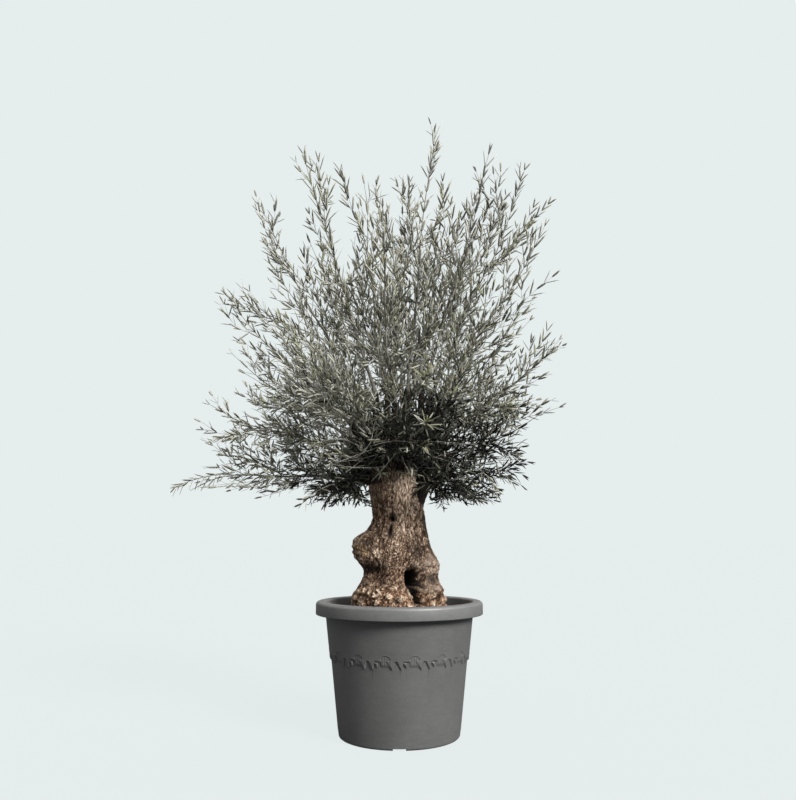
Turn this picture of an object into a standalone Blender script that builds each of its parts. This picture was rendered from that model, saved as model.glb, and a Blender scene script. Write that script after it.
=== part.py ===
"""Olive bonsai in a round nursery planter.

A short, gnarled olive trunk stands in a filled planter. Its head carries a fan of tapering boughs,
and each bough ends in one mass of foliage: a leader, a few side whips and their narrow leaves.
Metres, +Z up. The origin is the middle of the planter's flat underside.
Azimuth 0 is +X and 90 is +Y; elevation is above the horizon.
"""

import math
import random

import bmesh
import bpy
import numpy as np
from mathutils import Vector

CLEARANCE = 0.0003  # the gap between two pieces that rest on each other

# Planter
RIM_RADIUS = 0.300
RIM_INNER_RADIUS = 0.262
RIM_HEIGHT = 0.045
RIM_ROUNDING = 0.012
PLANTER_HEIGHT = 0.460
FOOT_RADIUS = 0.2134
FOOT_CHAMFER = 0.006
WALL_TOP_RADIUS = 0.265
WALL_THICKNESS = 0.006
FLOOR_THICKNESS = 0.012
STEP_Z = 0.264  # where the wall steps in, under the garland
STEP_RADIUS = 0.2425
STEP_DEPTH = 0.0065
GARLAND_REPEATS = 16
GARLAND_HEIGHT = 0.041
GARLAND_RELIEF = 0.004
GARLAND_FALLS = (0.42, 0.10, 0.30, 0.0)  # how far its edge hangs at each segment, in garland heights
GARLAND_SWELLS = (1.0, 0.1, 0.6, -0.2)
GARLAND_FOLD = 0.45  # where its fold stands out most, in garland heights above the step
SEGMENTS_PER_REPEAT = len(GARLAND_FALLS)
NOTCH_WIDTH = 0.043  # drainage notches in the lower edge
NOTCH_HEIGHT = 0.007
NOTCH_DEPTH = 0.030
NOTCHES = 4

# Soil
SOIL_BELOW_RIM = 0.055
SOIL_TOP = PLANTER_HEIGHT - SOIL_BELOW_RIM
SOIL_SEGMENTS = 32

# Trunk: (height, radius) of the plain column, then its swellings and hollows
TRUNK_FOOT = SOIL_TOP + CLEARANCE
TRUNK_COLUMN = (
    (TRUNK_FOOT, 0.164),
    (0.455, 0.159),
    (0.500, 0.147),
    (0.550, 0.126),
    (0.650, 0.111),
    (0.710, 0.101),
    (0.755, 0.093),
    (0.800, 0.099),
    (0.860, 0.108),
    (0.920, 0.112),
    (0.965, 0.102),
    (1.000, 0.062),
)
# name, azimuth, height, how far it stands out, its spread upwards and its spread round the trunk
TRUNK_FORMS = (
    ("left burl", 187, 0.654, 0.057, 0.036, 30),
    ("left shelf", 200, 0.604, 0.016, 0.018, 24),
    ("left root", 192, 0.480, 0.012, 0.024, 26),
    ("right burl", 352, 0.588, 0.022, 0.030, 26),
    ("right knuckle", 325, 0.500, 0.020, 0.022, 20),
    ("front root", 255, 0.450, 0.014, 0.026, 20),
    ("cavity", 293, 0.545, -0.062, 0.026, 12),
    ("cavity mouth", 290, 0.475, -0.036, 0.038, 9),
    ("fork groove", 321, 0.890, -0.030, 0.075, 9),
    ("left undercut", 219, 0.568, -0.014, 0.018, 14),
    ("knot hole", 254, 0.748, -0.016, 0.012, 9),
    ("rear burl", 80, 0.600, 0.030, 0.050, 34),
    ("right shoulder", 22, 0.890, 0.012, 0.060, 24),
)
TRUNK_SIDES = 28
TRUNK_RING_STEP = 0.027
FLUTES = 5
FLUTE_DEPTH = 0.035
FLUTE_TWIST = 3.0  # radians for each metre of height
ROOT_LOBES = 7
ROOT_LOBE_DEPTH = 0.050
ROOT_LOBE_HEIGHT = 0.11
ROOT_LOBE_TURN = 0.6  # radians
TRUNK_CROWNING = 0.012  # how much the middle of the head stands above its edge

# Crown: the head of the trunk, where the boughs start, and how they are spread over it
HUB = Vector((0.0, 0.0, 0.920))
STUB_REACH = 0.136
STUB_ROOT = 0.030
STUB_FLARE, STUB_END = 1.45, 1.04  # its radii at the root and at the end, in bough radii
STUB_SIDES = 6
POLE_SPREAD, POLE_EDGE = 2.0, 30.0
SIDE_SPREAD = 0.64
BOUGH_RADIUS, BOUGH_RADIUS_BY_REACH = 0.0095, 0.0050
BOUGH_TAPER = 0.62
BOUGH_SHARE, BOUGH_LEAST, BOUGH_MOST = 0.27, 0.210, 0.310
BOUGH_POINTS = 4
BOUGH_EASE = 0.045

# name, azimuth, elevation, reach of the furthest leaf from the hub
MASSES = (
    ("top_spire", 15, 84, 1.465),
    ("right_spire", -20, 73, 1.31),
    ("right_high", 14, 67, 1.435),
    ("right_upper", -16, 58, 1.11),
    ("right_mid", 8, 40, 0.88),
    ("right_low", -12, 20, 0.60),
    ("right_skirt", 8, -2, 0.52),
    ("middle_spire", 150, 80, 1.15),
    ("left_spire", 189, 73, 1.35),
    ("left_high", 168, 62, 1.30),
    ("left_upper", 194, 44, 0.96),
    ("left_mid", 168, 35, 0.89),
    ("left_low", 193, 18, 0.785),
    ("left_skirt", 175, -3, 0.855),
    ("front_high", 262, 61, 1.02),
    ("front_left", 230, 38, 0.82),
    ("front_right", 312, 40, 0.78),
    ("front_low", 272, 20, 0.60),
    ("front_left_skirt", 226, -10, 0.46),
    ("front_right_skirt", 314, -10, 0.44),
    ("back_high", 85, 60, 1.08),
    ("back_left", 130, 40, 0.86),
    ("back_right", 50, 42, 0.84),
    ("back_low", 92, 20, 0.62),
    ("back_left_skirt", 132, -6, 0.56),
    ("back_right_skirt", 46, -8, 0.50),
)
SKIRT_DROOP, WHIP_ARCH = -0.10, 0.055
LEADER_HANDLES = (0.33, 0.68)
LEADER_SAG = 1.6
TIP_LEAF = 0.100  # the leader ends this much short of its furthest leaf
LEADER_POINTS = 5
SIDE_WHIPS = 4
SIDE_FIRST = 0.028  # distance along the leader of its first side whip
SIDE_LAST = 0.36  # share of the leader at its last side whip
SIDE_OPENING = 15.0  # degrees between the leader's tip and a side whip's, seen from the hub
SIDE_VARIES = (0.80, 1.25)
SIDE_SHRINK = 0.82
SIDE_TRIES = 12
SIDE_HANDLES = (0.25, 0.30)
SIDE_POINTS = 3
SIDE_REACH = (0.60, 0.89)
GOLDEN_ANGLE = math.radians(137.5)
WHIP_ROOT_RADIUS, WHIP_TIP_RADIUS = 0.0085, 0.0042
SIDE_ROOT_RADIUS = 0.0070
WHIP_SIDES = 3

# Leaves, each of which stands for a spray
LEAF_LENGTH = 0.128
LEAF_WIDTH = 0.030
LEAF_THICKNESS = 0.0060
LEAF_WIDEST = 0.42  # share of its length
LEAF_SPACING = 0.062
LEAF_ANGLE = 37.0
LEAF_SUNK = 0.005
LEAF_SIZES = (0.80, 1.12)
LEAF_VARIES = (0.80, 1.20)  # of its angle
TIP_LEAF_ANGLE = 8.0
TIP_LEAF_SUNK = 0.011
BARE_START = 0.030
LEAF_APART = 0.012  # from a leaf to the next one or to another whip
CELL_MARGIN = 0.019  # a leaf keeps this much nearer to its own mass than to any other
WHIP_MARGIN = 0.012
TRUNK_MARGIN = 0.012
CROWN_FLOOR = 0.800  # no leaf hangs lower

COLOURS = {
    "planter": ((0.105, 0.108, 0.108, 1.0), 0.55),
    "soil": ((0.045, 0.030, 0.020, 1.0), 0.95),
    "bark": ((0.200, 0.140, 0.095, 1.0), 0.90),
    "foliage": ((0.130, 0.150, 0.115, 1.0), 0.60),
}


def clear_scene():
    for obj in list(bpy.data.objects):
        bpy.data.objects.remove(obj, do_unlink=True)


def make_material(name):
    colour, roughness = COLOURS[name]
    material = bpy.data.materials.new(name)
    material.use_nodes = True
    shader = material.node_tree.nodes["Principled BSDF"]
    shader.inputs["Base Color"].default_value = colour
    shader.inputs["Roughness"].default_value = roughness
    shader.inputs["Metallic"].default_value = 0.0
    return material


def add_object(name, points, faces, material=None, collection=None):
    mesh = bpy.data.meshes.new(name)
    mesh.from_pydata([tuple(p) for p in points], [], faces)
    builder = bmesh.new()
    builder.from_mesh(mesh)
    bmesh.ops.recalc_face_normals(builder, faces=builder.faces)
    builder.to_mesh(mesh)
    builder.free()
    if material:
        mesh.materials.append(material)
    obj = bpy.data.objects.new(name, mesh)
    (collection or bpy.context.scene.collection).objects.link(obj)
    return obj


def apply_modifiers(obj):
    """Keeps the mesh that the modifiers make, and drops any shell but the outer one."""
    graph = bpy.context.evaluated_depsgraph_get()
    made = bpy.data.meshes.new_from_object(obj.evaluated_get(graph), depsgraph=graph)
    obj.modifiers.clear()
    obj.data = made
    builder = bmesh.new()
    builder.from_mesh(made)
    keep_outer_shell(builder)
    builder.to_mesh(made)
    builder.free()


def keep_outer_shell(builder):
    """Fills sealed hollows and drops loose scraps: both are shells beside the largest one."""
    unseen = set(builder.faces)
    shells = []
    while unseen:
        todo = [unseen.pop()]
        shell = []
        while todo:
            face = todo.pop()
            shell.append(face)
            for edge in face.edges:
                for other in edge.link_faces:
                    if other in unseen:
                        unseen.remove(other)
                        todo.append(other)
        shells.append(shell)
    shells.sort(key=len)
    for shell in shells[:-1]:
        corners = {vertex for face in shell for vertex in face.verts}
        bmesh.ops.delete(builder, geom=list(corners), context="VERTS")


def fuse(obj, parts):
    """Joins obj and the collection's objects into one body, and removes those objects."""
    union = obj.modifiers.new("union", "BOOLEAN")
    union.operation = "UNION"
    union.operand_type = "COLLECTION"
    union.collection = parts
    union.solver = "EXACT"
    bpy.context.view_layer.update()
    apply_modifiers(obj)
    for part in list(parts.objects):
        bpy.data.objects.remove(part, do_unlink=True)
    bpy.data.collections.remove(parts)


def new_collection(name):
    collection = bpy.data.collections.new(name)
    bpy.context.scene.collection.children.link(collection)
    return collection


# ---------------------------------------------------------------- turned pieces


def turned(name, rings, segments, material):
    """A closed turned solid. Each ring is a list of points; a single point closes an end."""
    points, faces, starts = [], [], []
    for ring in rings:
        starts.append(len(points))
        points.extend(ring)
    for here, (first, second) in enumerate(zip(rings, rings[1:])):
        low, high = starts[here], starts[here + 1]
        for k in range(segments):
            n = (k + 1) % segments
            if len(first) == 1:
                faces.append((low, high + k, high + n))
            elif len(second) == 1:
                faces.append((low + k, high, low + n))
            else:
                faces.append((low + k, high + k, high + n, low + n))
    return add_object(name, points, faces, material)


def circle(radius, z, segments, radial=None, lift=None):
    """One ring. radial and lift are functions of the segment's number, added to radius and z."""
    ring = []
    for k in range(segments):
        angle = math.tau * k / segments
        r = radius + (radial(k) if radial else 0.0)
        ring.append(Vector((r * math.cos(angle), r * math.sin(angle), z + (lift(k) if lift else 0.0))))
    return ring


def wall_radius(z):
    """Outer radius of the wall, which steps in below the garland."""
    slope = (WALL_TOP_RADIUS - STEP_RADIUS - STEP_DEPTH) / (PLANTER_HEIGHT - RIM_HEIGHT - STEP_Z)
    if z > STEP_Z:
        return STEP_RADIUS + STEP_DEPTH + slope * (z - STEP_Z)
    return FOOT_RADIUS + (STEP_RADIUS - FOOT_RADIUS) * z / STEP_Z


def inner_radius(z):
    """Inner radius of the wall: one straight taper, clear of the step."""
    low = FOOT_RADIUS - WALL_THICKNESS
    return low + (WALL_TOP_RADIUS - WALL_THICKNESS - low) * z / (PLANTER_HEIGHT - RIM_HEIGHT)


def garland_fall(k):
    """How far the lower edge of the garland hangs at this segment."""
    return -GARLAND_HEIGHT * GARLAND_FALLS[k % SEGMENTS_PER_REPEAT]


def garland_swell(k):
    return GARLAND_RELIEF * GARLAND_SWELLS[k % SEGMENTS_PER_REPEAT]


def build_planter(material):
    segments = GARLAND_REPEATS * SEGMENTS_PER_REPEAT
    rim_low = PLANTER_HEIGHT - RIM_HEIGHT
    step_top = STEP_Z + GARLAND_HEIGHT * GARLAND_FOLD
    rings = [
        [Vector((0, 0, 0))],
        circle(FOOT_RADIUS - FOOT_CHAMFER, 0.0, segments),
        circle(FOOT_RADIUS, FOOT_CHAMFER, segments),
        circle(wall_radius(STEP_Z) - 0.001, step_top - 0.004, segments, lift=garland_fall),
        circle(wall_radius(step_top), step_top, segments, garland_swell, garland_fall),
        circle(wall_radius(STEP_Z + GARLAND_HEIGHT), STEP_Z + GARLAND_HEIGHT, segments),
        circle(WALL_TOP_RADIUS, rim_low, segments),
        circle(RIM_RADIUS, rim_low, segments),
        circle(RIM_RADIUS, PLANTER_HEIGHT - RIM_ROUNDING, segments),
        circle(RIM_RADIUS - RIM_ROUNDING * 0.3, PLANTER_HEIGHT - RIM_ROUNDING * 0.3, segments),
        circle(RIM_RADIUS - RIM_ROUNDING, PLANTER_HEIGHT, segments),
        circle(RIM_INNER_RADIUS + RIM_ROUNDING * 0.6, PLANTER_HEIGHT, segments),
        circle(RIM_INNER_RADIUS, PLANTER_HEIGHT - RIM_ROUNDING * 0.8, segments),
        circle(inner_radius(rim_low), rim_low, segments),
        circle(inner_radius(FLOOR_THICKNESS), FLOOR_THICKNESS, segments),
        [Vector((0, 0, FLOOR_THICKNESS))],
    ]
    planter = turned("planter", rings, segments, material)
    cut_notches(planter)
    planter.data.shade_smooth()
    planter.data.set_sharp_from_angle(angle=math.radians(32))


def cut_notches(planter):
    """Drainage notches through the lower edge, one of them at the front."""
    for n in range(NOTCHES):
        angle = math.tau * n / NOTCHES
        bpy.ops.mesh.primitive_cube_add(size=1.0)
        cutter = bpy.context.object
        cutter.name = f"notch_cutter_{n}"
        cutter.dimensions = (NOTCH_DEPTH * 2, NOTCH_WIDTH, NOTCH_HEIGHT * 2)
        cutter.location = (FOOT_RADIUS * math.cos(angle), FOOT_RADIUS * math.sin(angle), 0)
        cutter.rotation_euler = (0, 0, angle)
        cutter.hide_render = True
        cutter.display_type = "WIRE"
        cut = planter.modifiers.new(f"notch_{n}", "BOOLEAN")
        cut.operation = "DIFFERENCE"
        cut.solver = "EXACT"
        cut.object = cutter


def build_soil(material):
    foot = FLOOR_THICKNESS + CLEARANCE
    rings = [
        [Vector((0, 0, foot))],
        circle(inner_radius(foot) - 2 * CLEARANCE, foot, SOIL_SEGMENTS),
        circle(inner_radius(SOIL_TOP) - 2 * CLEARANCE, SOIL_TOP, SOIL_SEGMENTS),
        [Vector((0, 0, SOIL_TOP))],
    ]
    turned("soil", rings, SOIL_SEGMENTS, material)


# ---------------------------------------------------------------- trunk


def column_radius(z):
    """Radius of the plain column, smooth between its stations."""
    heights = [h for h, _ in TRUNK_COLUMN]
    radii = [r for _, r in TRUNK_COLUMN]
    return float(np.interp(z, heights, radii))


def angle_between(first, second):
    return (first - second + 180.0) % 360.0 - 180.0


def trunk_radius(azimuth, z):
    """Radius of the trunk at this azimuth in degrees: column, flutes, root lobes, burls and hollows."""
    round_angle = math.radians(azimuth)
    radius = column_radius(z)
    radius *= 1 + FLUTE_DEPTH * math.cos(FLUTES * round_angle + FLUTE_TWIST * z)
    flare = max(0.0, 1 - (z - TRUNK_FOOT) / ROOT_LOBE_HEIGHT)
    radius *= 1 + ROOT_LOBE_DEPTH * flare * math.cos(ROOT_LOBES * round_angle + ROOT_LOBE_TURN)
    for _, form_azimuth, form_z, out, spread_z, spread_round in TRUNK_FORMS:
        away = (z - form_z) / spread_z
        turn = angle_between(azimuth, form_azimuth) / spread_round
        radius += out * math.exp(-0.5 * (away * away + turn * turn))
    return radius


def build_trunk(material, limbs):
    top = TRUNK_COLUMN[-1][0]
    steps = round((top - TRUNK_FOOT) / TRUNK_RING_STEP)
    rings = [[Vector((0, 0, TRUNK_FOOT))]]
    for n in range(steps + 1):
        z = TRUNK_FOOT + (top - TRUNK_FOOT) * n / steps
        ring = []
        for k in range(TRUNK_SIDES):
            azimuth = 360.0 * k / TRUNK_SIDES
            radius = trunk_radius(azimuth, z)
            angle = math.radians(azimuth)
            ring.append(Vector((radius * math.cos(angle), radius * math.sin(angle), z)))
        rings.append(ring)
    rings.append([Vector((0, 0, top + TRUNK_CROWNING))])
    trunk = turned("trunk", rings, TRUNK_SIDES, material)
    stubs = new_collection("stubs")
    for limb in limbs:
        line = [HUB + limb["perch"] * STUB_ROOT, HUB + limb["perch"] * STUB_REACH]
        radii = [limb["radius"] * STUB_FLARE, limb["radius"] * STUB_END]
        tube(f"stub_{limb['name']}", line, radii, STUB_SIDES, None, stubs)
    fuse(trunk, stubs)
    trunk.data.shade_smooth()
    trunk.data.set_sharp_from_angle(angle=math.radians(50))


# ---------------------------------------------------------------- limbs and whips


def heading(azimuth, elevation):
    a, e = math.radians(azimuth), math.radians(elevation)
    return Vector((math.cos(a) * math.cos(e), math.sin(a) * math.cos(e), math.sin(e)))


def perch_heading(azimuth, elevation):
    """Where on the trunk's head a bough sits: the steep ones are spread further apart."""
    polar = 90.0 - elevation
    if polar <= POLE_EDGE:
        spread = polar * POLE_SPREAD
    else:
        spread = POLE_EDGE * POLE_SPREAD + (polar - POLE_EDGE) * SIDE_SPREAD
    return heading(azimuth, 90.0 - spread)


def bezier(a, b, c, d, count):
    line = []
    for n in range(count):
        t = n / (count - 1)
        s = 1 - t
        line.append(a * s**3 + b * 3 * s * s * t + c * 3 * s * t * t + d * t**3)
    return line


def limb_of(name, azimuth, elevation, reach):
    """The bough and the leader of one mass, as two smooth lines."""
    way = heading(azimuth, elevation)
    perch = perch_heading(azimuth, elevation)
    start = HUB + perch * (STUB_REACH + CLEARANCE)
    length = min(max(reach * BOUGH_SHARE, BOUGH_LEAST), BOUGH_MOST)
    end = HUB + way * length
    bough = bezier(start, start + perch * BOUGH_EASE, end - way * BOUGH_EASE, end, BOUGH_POINTS)
    root, tip = end + way * CLEARANCE, HUB + way * (reach - TIP_LEAF)
    bend = (SKIRT_DROOP if elevation < 0 else WHIP_ARCH) * (tip - root).length * math.cos(math.radians(elevation))
    sag = Vector((0, 0, -bend))
    reaching = tip - root
    near, far = (root + reaching * share for share in LEADER_HANDLES)
    leader = bezier(root, near, far + sag * LEADER_SAG, tip, LEADER_POINTS)
    radius = BOUGH_RADIUS + BOUGH_RADIUS_BY_REACH * reach
    return {
        "name": name,
        "way": way,
        "perch": perch,
        "reach": reach,
        "radius": radius,
        "bough": bough,
        "leader": leader,
    }


def segments_of(limb):
    line = [limb["bough"][0], limb["bough"][-1], *limb["leader"][1::2]]
    return [(tuple(a), tuple(b)) for a, b in zip(line, line[1:])]


def distance_to(points, segments):
    """For each point, the distance to the nearest of the segments."""
    points = np.array(points, float).reshape(-1, 1, 3)
    starts = np.array([a for a, _ in segments])
    along = np.array([b for _, b in segments]) - starts
    share = ((points - starts) * along).sum(2) / (along * along).sum(1)
    nearest = starts + np.clip(share, 0, 1)[..., None] * along
    return np.sqrt(((points - nearest) ** 2).sum(2)).min(1)


class Cell:
    """The space that one mass keeps to: nearer to its own bough and leader than to any other, and off the trunk."""

    def __init__(self, limbs, own):
        self.own = segments_of(limbs[own])
        self.others = [s for n, limb in enumerate(limbs) if n != own for s in segments_of(limb)]

    def holds(self, points, margin):
        points = [tuple(p) for p in points]
        if min(z for _, _, z in points) < CROWN_FLOOR:
            return False
        gained = distance_to(points, self.others) - distance_to(points, self.own)
        return bool((gained > margin).all()) and all(clear_of_trunk(p) for p in points)


def clear_of_trunk(point):
    x, y, z = point
    if z > HUB.z:
        return (Vector(point) - HUB).length > STUB_REACH + TRUNK_MARGIN
    azimuth = math.degrees(math.atan2(y, x))
    return math.hypot(x, y) > trunk_radius(azimuth, max(z, TRUNK_FOOT)) + TRUNK_MARGIN


def side_lines(limb, cell, draw):
    """The side whips of one mass. Each opens away from the leader until its cell stops it."""
    lines = []
    leader = limb["leader"]
    across = limb["way"].orthogonal().normalized()
    over = limb["way"].cross(across)
    turn = draw.uniform(0, math.tau)
    for n in range(SIDE_WHIPS):
        first = SIDE_FIRST / line_length(leader)
        share = first + (SIDE_LAST - first) * n / (SIDE_WHIPS - 1)
        start = along_line(leader, share)
        outward = across * math.cos(turn) + over * math.sin(turn)
        far = (limb["reach"] - TIP_LEAF) * draw.uniform(*SIDE_REACH)
        opening = SIDE_OPENING * draw.uniform(*SIDE_VARIES)
        turn += GOLDEN_ANGLE
        for _ in range(SIDE_TRIES):
            way = limb["way"] * math.cos(math.radians(opening)) + outward * math.sin(math.radians(opening))
            tip = HUB + way * far
            run = (tip - start).length
            near = start + limb["way"] * run * SIDE_HANDLES[0]
            line = bezier(start, near, tip - way * run * SIDE_HANDLES[1], tip, SIDE_POINTS)
            if cell.holds(line[1:], WHIP_MARGIN):
                lines.append(line)
                break
            opening *= SIDE_SHRINK
    return lines


def along_line(line, share):
    place = share * (len(line) - 1)
    index = min(int(place), len(line) - 2)
    return line[index].lerp(line[index + 1], place - index)


def line_length(line):
    return sum((b - a).length for a, b in zip(line, line[1:]))


# ---------------------------------------------------------------- twigs and leaves


def tube(name, line, radii, sides, material, collection=None, ends=(None, None)):
    """A tapering limb with flat ends. They are square to the directions in ends, or else to the line."""
    points, faces = [], []
    across = None
    last = len(line) - 1
    for n, (place, radius) in enumerate(zip(line, radii)):
        ahead = (line[min(n + 1, last)] - line[max(n - 1, 0)]).normalized()
        if n == 0 and ends[0]:
            ahead = ends[0]
        if n == last and ends[1]:
            ahead = ends[1]
        across = ahead.orthogonal() if across is None else across - ahead * across.dot(ahead)
        across.normalize()
        over = ahead.cross(across)
        for k in range(sides):
            angle = math.tau * k / sides
            points.append(place + (across * math.cos(angle) + over * math.sin(angle)) * radius)
    for n in range(len(line) - 1):
        for k in range(sides):
            low, next_low = n * sides + k, n * sides + (k + 1) % sides
            faces.append((low, next_low, next_low + sides, low + sides))
    faces.append(tuple(reversed(range(sides))))
    faces.append(tuple(range((len(line) - 1) * sides, len(line) * sides)))
    return add_object(name, points, faces, material, collection)


def tapered(count, root, tip):
    return [root + (tip - root) * n / (count - 1) for n in range(count)]


def leaf_points(root, way, across, length):
    """Root, tip, two edges and the keel of a leaf: flat above, with its midrib standing out below."""
    middle = root + way * length * LEAF_WIDEST
    edge = across * LEAF_WIDTH / 2
    keel = way.cross(across) * LEAF_THICKNESS
    return [root, root + way * length, middle + edge, middle - edge, middle + keel]


LEAF_FACES = ((0, 2, 3), (0, 3, 4), (0, 4, 2), (1, 3, 2), (1, 4, 3), (1, 2, 4))


def leaves_on(line, cell, draw, others, taken):
    """Leaves that leave the whip by turns, and one at its tip.

    Each is kept only inside the cell, off the mass's other whips and off the leaves already taken.
    """
    leaves = []
    length = line_length(line)
    turn = draw.uniform(0, math.tau)
    count = int((length - BARE_START) / LEAF_SPACING)
    for n in range(count + 1):
        share = 1.0 if n == count else (BARE_START + LEAF_SPACING * (n + 0.5)) / length
        here = along_line(line, min(share, 1.0))
        ahead = (along_line(line, min(share + 0.04, 1.0)) - along_line(line, share - 0.04)).normalized()
        across = ahead.orthogonal().normalized()
        outward = across * math.cos(turn) + ahead.cross(across) * math.sin(turn)
        turn += GOLDEN_ANGLE
        lean = math.radians(TIP_LEAF_ANGLE if n == count else LEAF_ANGLE * draw.uniform(*LEAF_VARIES))
        way = ahead * math.cos(lean) + outward * math.sin(lean)
        edge = way.cross(outward).normalized()
        size = LEAF_LENGTH * draw.uniform(*LEAF_SIZES)
        root = here - way * (TIP_LEAF_SUNK if n == count else LEAF_SUNK)
        points = leaf_points(root, way, edge, size)
        spots = [*points[1:4], root.lerp(points[1], 0.7)]
        if not cell.holds(spots, CELL_MARGIN):
            continue
        if distance_to(spots, others).min() < LEAF_APART:
            continue
        if taken and distance_to(spots, taken).min() < LEAF_APART:
            continue
        leaves.append(points)
        taken.append((tuple(root.lerp(points[1], 0.25)), tuple(points[1])))
    return leaves


def build_bough(limb, material):
    radii = tapered(BOUGH_POINTS, limb["radius"], limb["radius"] * BOUGH_TAPER)
    ends = (limb["perch"], limb["way"])
    bough = tube(f"bough_{limb['name']}", limb["bough"], radii, STUB_SIDES, material, ends=ends)
    bough.data.shade_smooth()
    bough.data.set_sharp_from_angle(angle=math.radians(50))


def build_mass(number, limbs, material):
    """One mass of foliage: leader, side whips and leaves, fused into one body."""
    limb = limbs[number]
    cell = Cell(limbs, number)
    draw = random.Random(number + 1)
    leader = limb["leader"]
    radii = tapered(len(leader), WHIP_ROOT_RADIUS, WHIP_TIP_RADIUS)
    stem = tube(f"foliage_{limb['name']}", leader, radii, WHIP_SIDES, material, ends=(limb["way"], None))
    parts = new_collection(f"parts_{limb['name']}")
    sides = side_lines(limb, cell, draw)
    for n, line in enumerate(sides):
        radii = tapered(len(line), SIDE_ROOT_RADIUS, WHIP_TIP_RADIUS)
        tube(f"whip_{number}_{n}", line, radii, WHIP_SIDES, material, parts)
    whips = [leader, *sides]
    leaves, taken = [], []
    for line in whips:
        others = [(tuple(a), tuple(b)) for whip in whips if whip is not line for a, b in zip(whip, whip[1:])]
        leaves.extend(leaves_on(line, cell, draw, others, taken))
    for n, points in enumerate(leaves):
        add_object(f"leaf_{number}_{n}", points, LEAF_FACES, material, parts)
    fuse(stem, parts)
    return len(leaves)


def main():
    clear_scene()
    materials = {name: make_material(name) for name in COLOURS}
    limbs = [limb_of(*row) for row in MASSES]
    build_planter(materials["planter"])
    build_soil(materials["soil"])
    build_trunk(materials["bark"], limbs)
    for limb in limbs:
        build_bough(limb, materials["bark"])
    leaves = sum(build_mass(n, limbs, materials["foliage"]) for n in range(len(limbs)))
    print(f"{len(limbs)} masses, {leaves} leaves")


main()
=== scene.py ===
"""Looks of the olive bonsai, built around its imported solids. Metres, +Z up, -Y towards the camera."""

import math
import random

import bpy
import numpy as np
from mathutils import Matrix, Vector, noise


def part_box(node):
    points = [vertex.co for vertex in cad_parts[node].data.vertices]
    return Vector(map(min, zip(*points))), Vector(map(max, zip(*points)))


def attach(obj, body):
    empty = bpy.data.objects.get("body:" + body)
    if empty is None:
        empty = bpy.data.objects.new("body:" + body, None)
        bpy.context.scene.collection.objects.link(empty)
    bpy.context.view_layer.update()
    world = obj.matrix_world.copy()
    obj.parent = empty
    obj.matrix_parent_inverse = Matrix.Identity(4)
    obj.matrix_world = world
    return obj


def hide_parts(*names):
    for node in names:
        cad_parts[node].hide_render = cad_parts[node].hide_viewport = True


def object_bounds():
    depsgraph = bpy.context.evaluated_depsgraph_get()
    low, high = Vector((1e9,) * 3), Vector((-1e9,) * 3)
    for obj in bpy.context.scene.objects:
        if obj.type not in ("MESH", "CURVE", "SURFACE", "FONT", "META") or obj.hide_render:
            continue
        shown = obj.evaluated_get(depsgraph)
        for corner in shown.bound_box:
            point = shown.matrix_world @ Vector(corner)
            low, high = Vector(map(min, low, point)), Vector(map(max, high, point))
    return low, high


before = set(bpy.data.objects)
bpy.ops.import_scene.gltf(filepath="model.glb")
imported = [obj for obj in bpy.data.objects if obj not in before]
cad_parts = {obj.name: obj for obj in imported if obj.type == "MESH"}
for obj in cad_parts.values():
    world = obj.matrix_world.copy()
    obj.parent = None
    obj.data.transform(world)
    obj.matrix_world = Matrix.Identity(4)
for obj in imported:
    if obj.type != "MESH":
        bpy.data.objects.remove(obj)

CAD_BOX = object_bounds()
NODES = sorted(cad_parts)
BOUGH_NODES = [name for name in NODES if name.startswith("bough_")]
MASS_NODES = [name for name in NODES if name.startswith("foliage_")]

# ---------------------------------------------------------------- sizes shared with the solids

CLEARANCE = 0.0003
RIM_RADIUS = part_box("planter")[1].x
RIM_INNER_RADIUS = 0.262
RIM_HEIGHT = 0.045
RIM_ROUNDING = 0.012
PLANTER_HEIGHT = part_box("planter")[1].z
FOOT_RADIUS = 0.2134
FOOT_ROUNDING = 0.009
WALL_TOP_RADIUS = 0.265
WALL_THICKNESS = 0.006
FLOOR_THICKNESS = 0.012
STEP_Z = 0.264
STEP_RADIUS = 0.2425
STEP_DEPTH = 0.0050
GARLAND_REPEATS = 16
NOTCH_WIDTH, NOTCH_HEIGHT, NOTCH_DEPTH = 0.043, 0.007, 0.030
NOTCHES = 4

SOIL_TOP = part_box("soil")[1].z
SOIL_SIDES, SOIL_RINGS = 180, 46
SOIL_DIP, SOIL_HEAP, HEAP_RADIUS, HEAP_WIDTH = 0.006, 0.010, 0.15, 0.05
CRUMB_HEIGHT, CRUMB_SCALE = 0.0055, 55.0
TRUNK_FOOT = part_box("trunk")[0].z
TRUNK_COLUMN = (
    (TRUNK_FOOT, 0.164),
    (0.455, 0.159),
    (0.500, 0.147),
    (0.550, 0.126),
    (0.650, 0.111),
    (0.710, 0.101),
    (0.755, 0.093),
    (0.800, 0.099),
    (0.860, 0.108),
    (0.920, 0.112),
    (0.965, 0.102),
    (1.000, 0.062),
)
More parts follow.
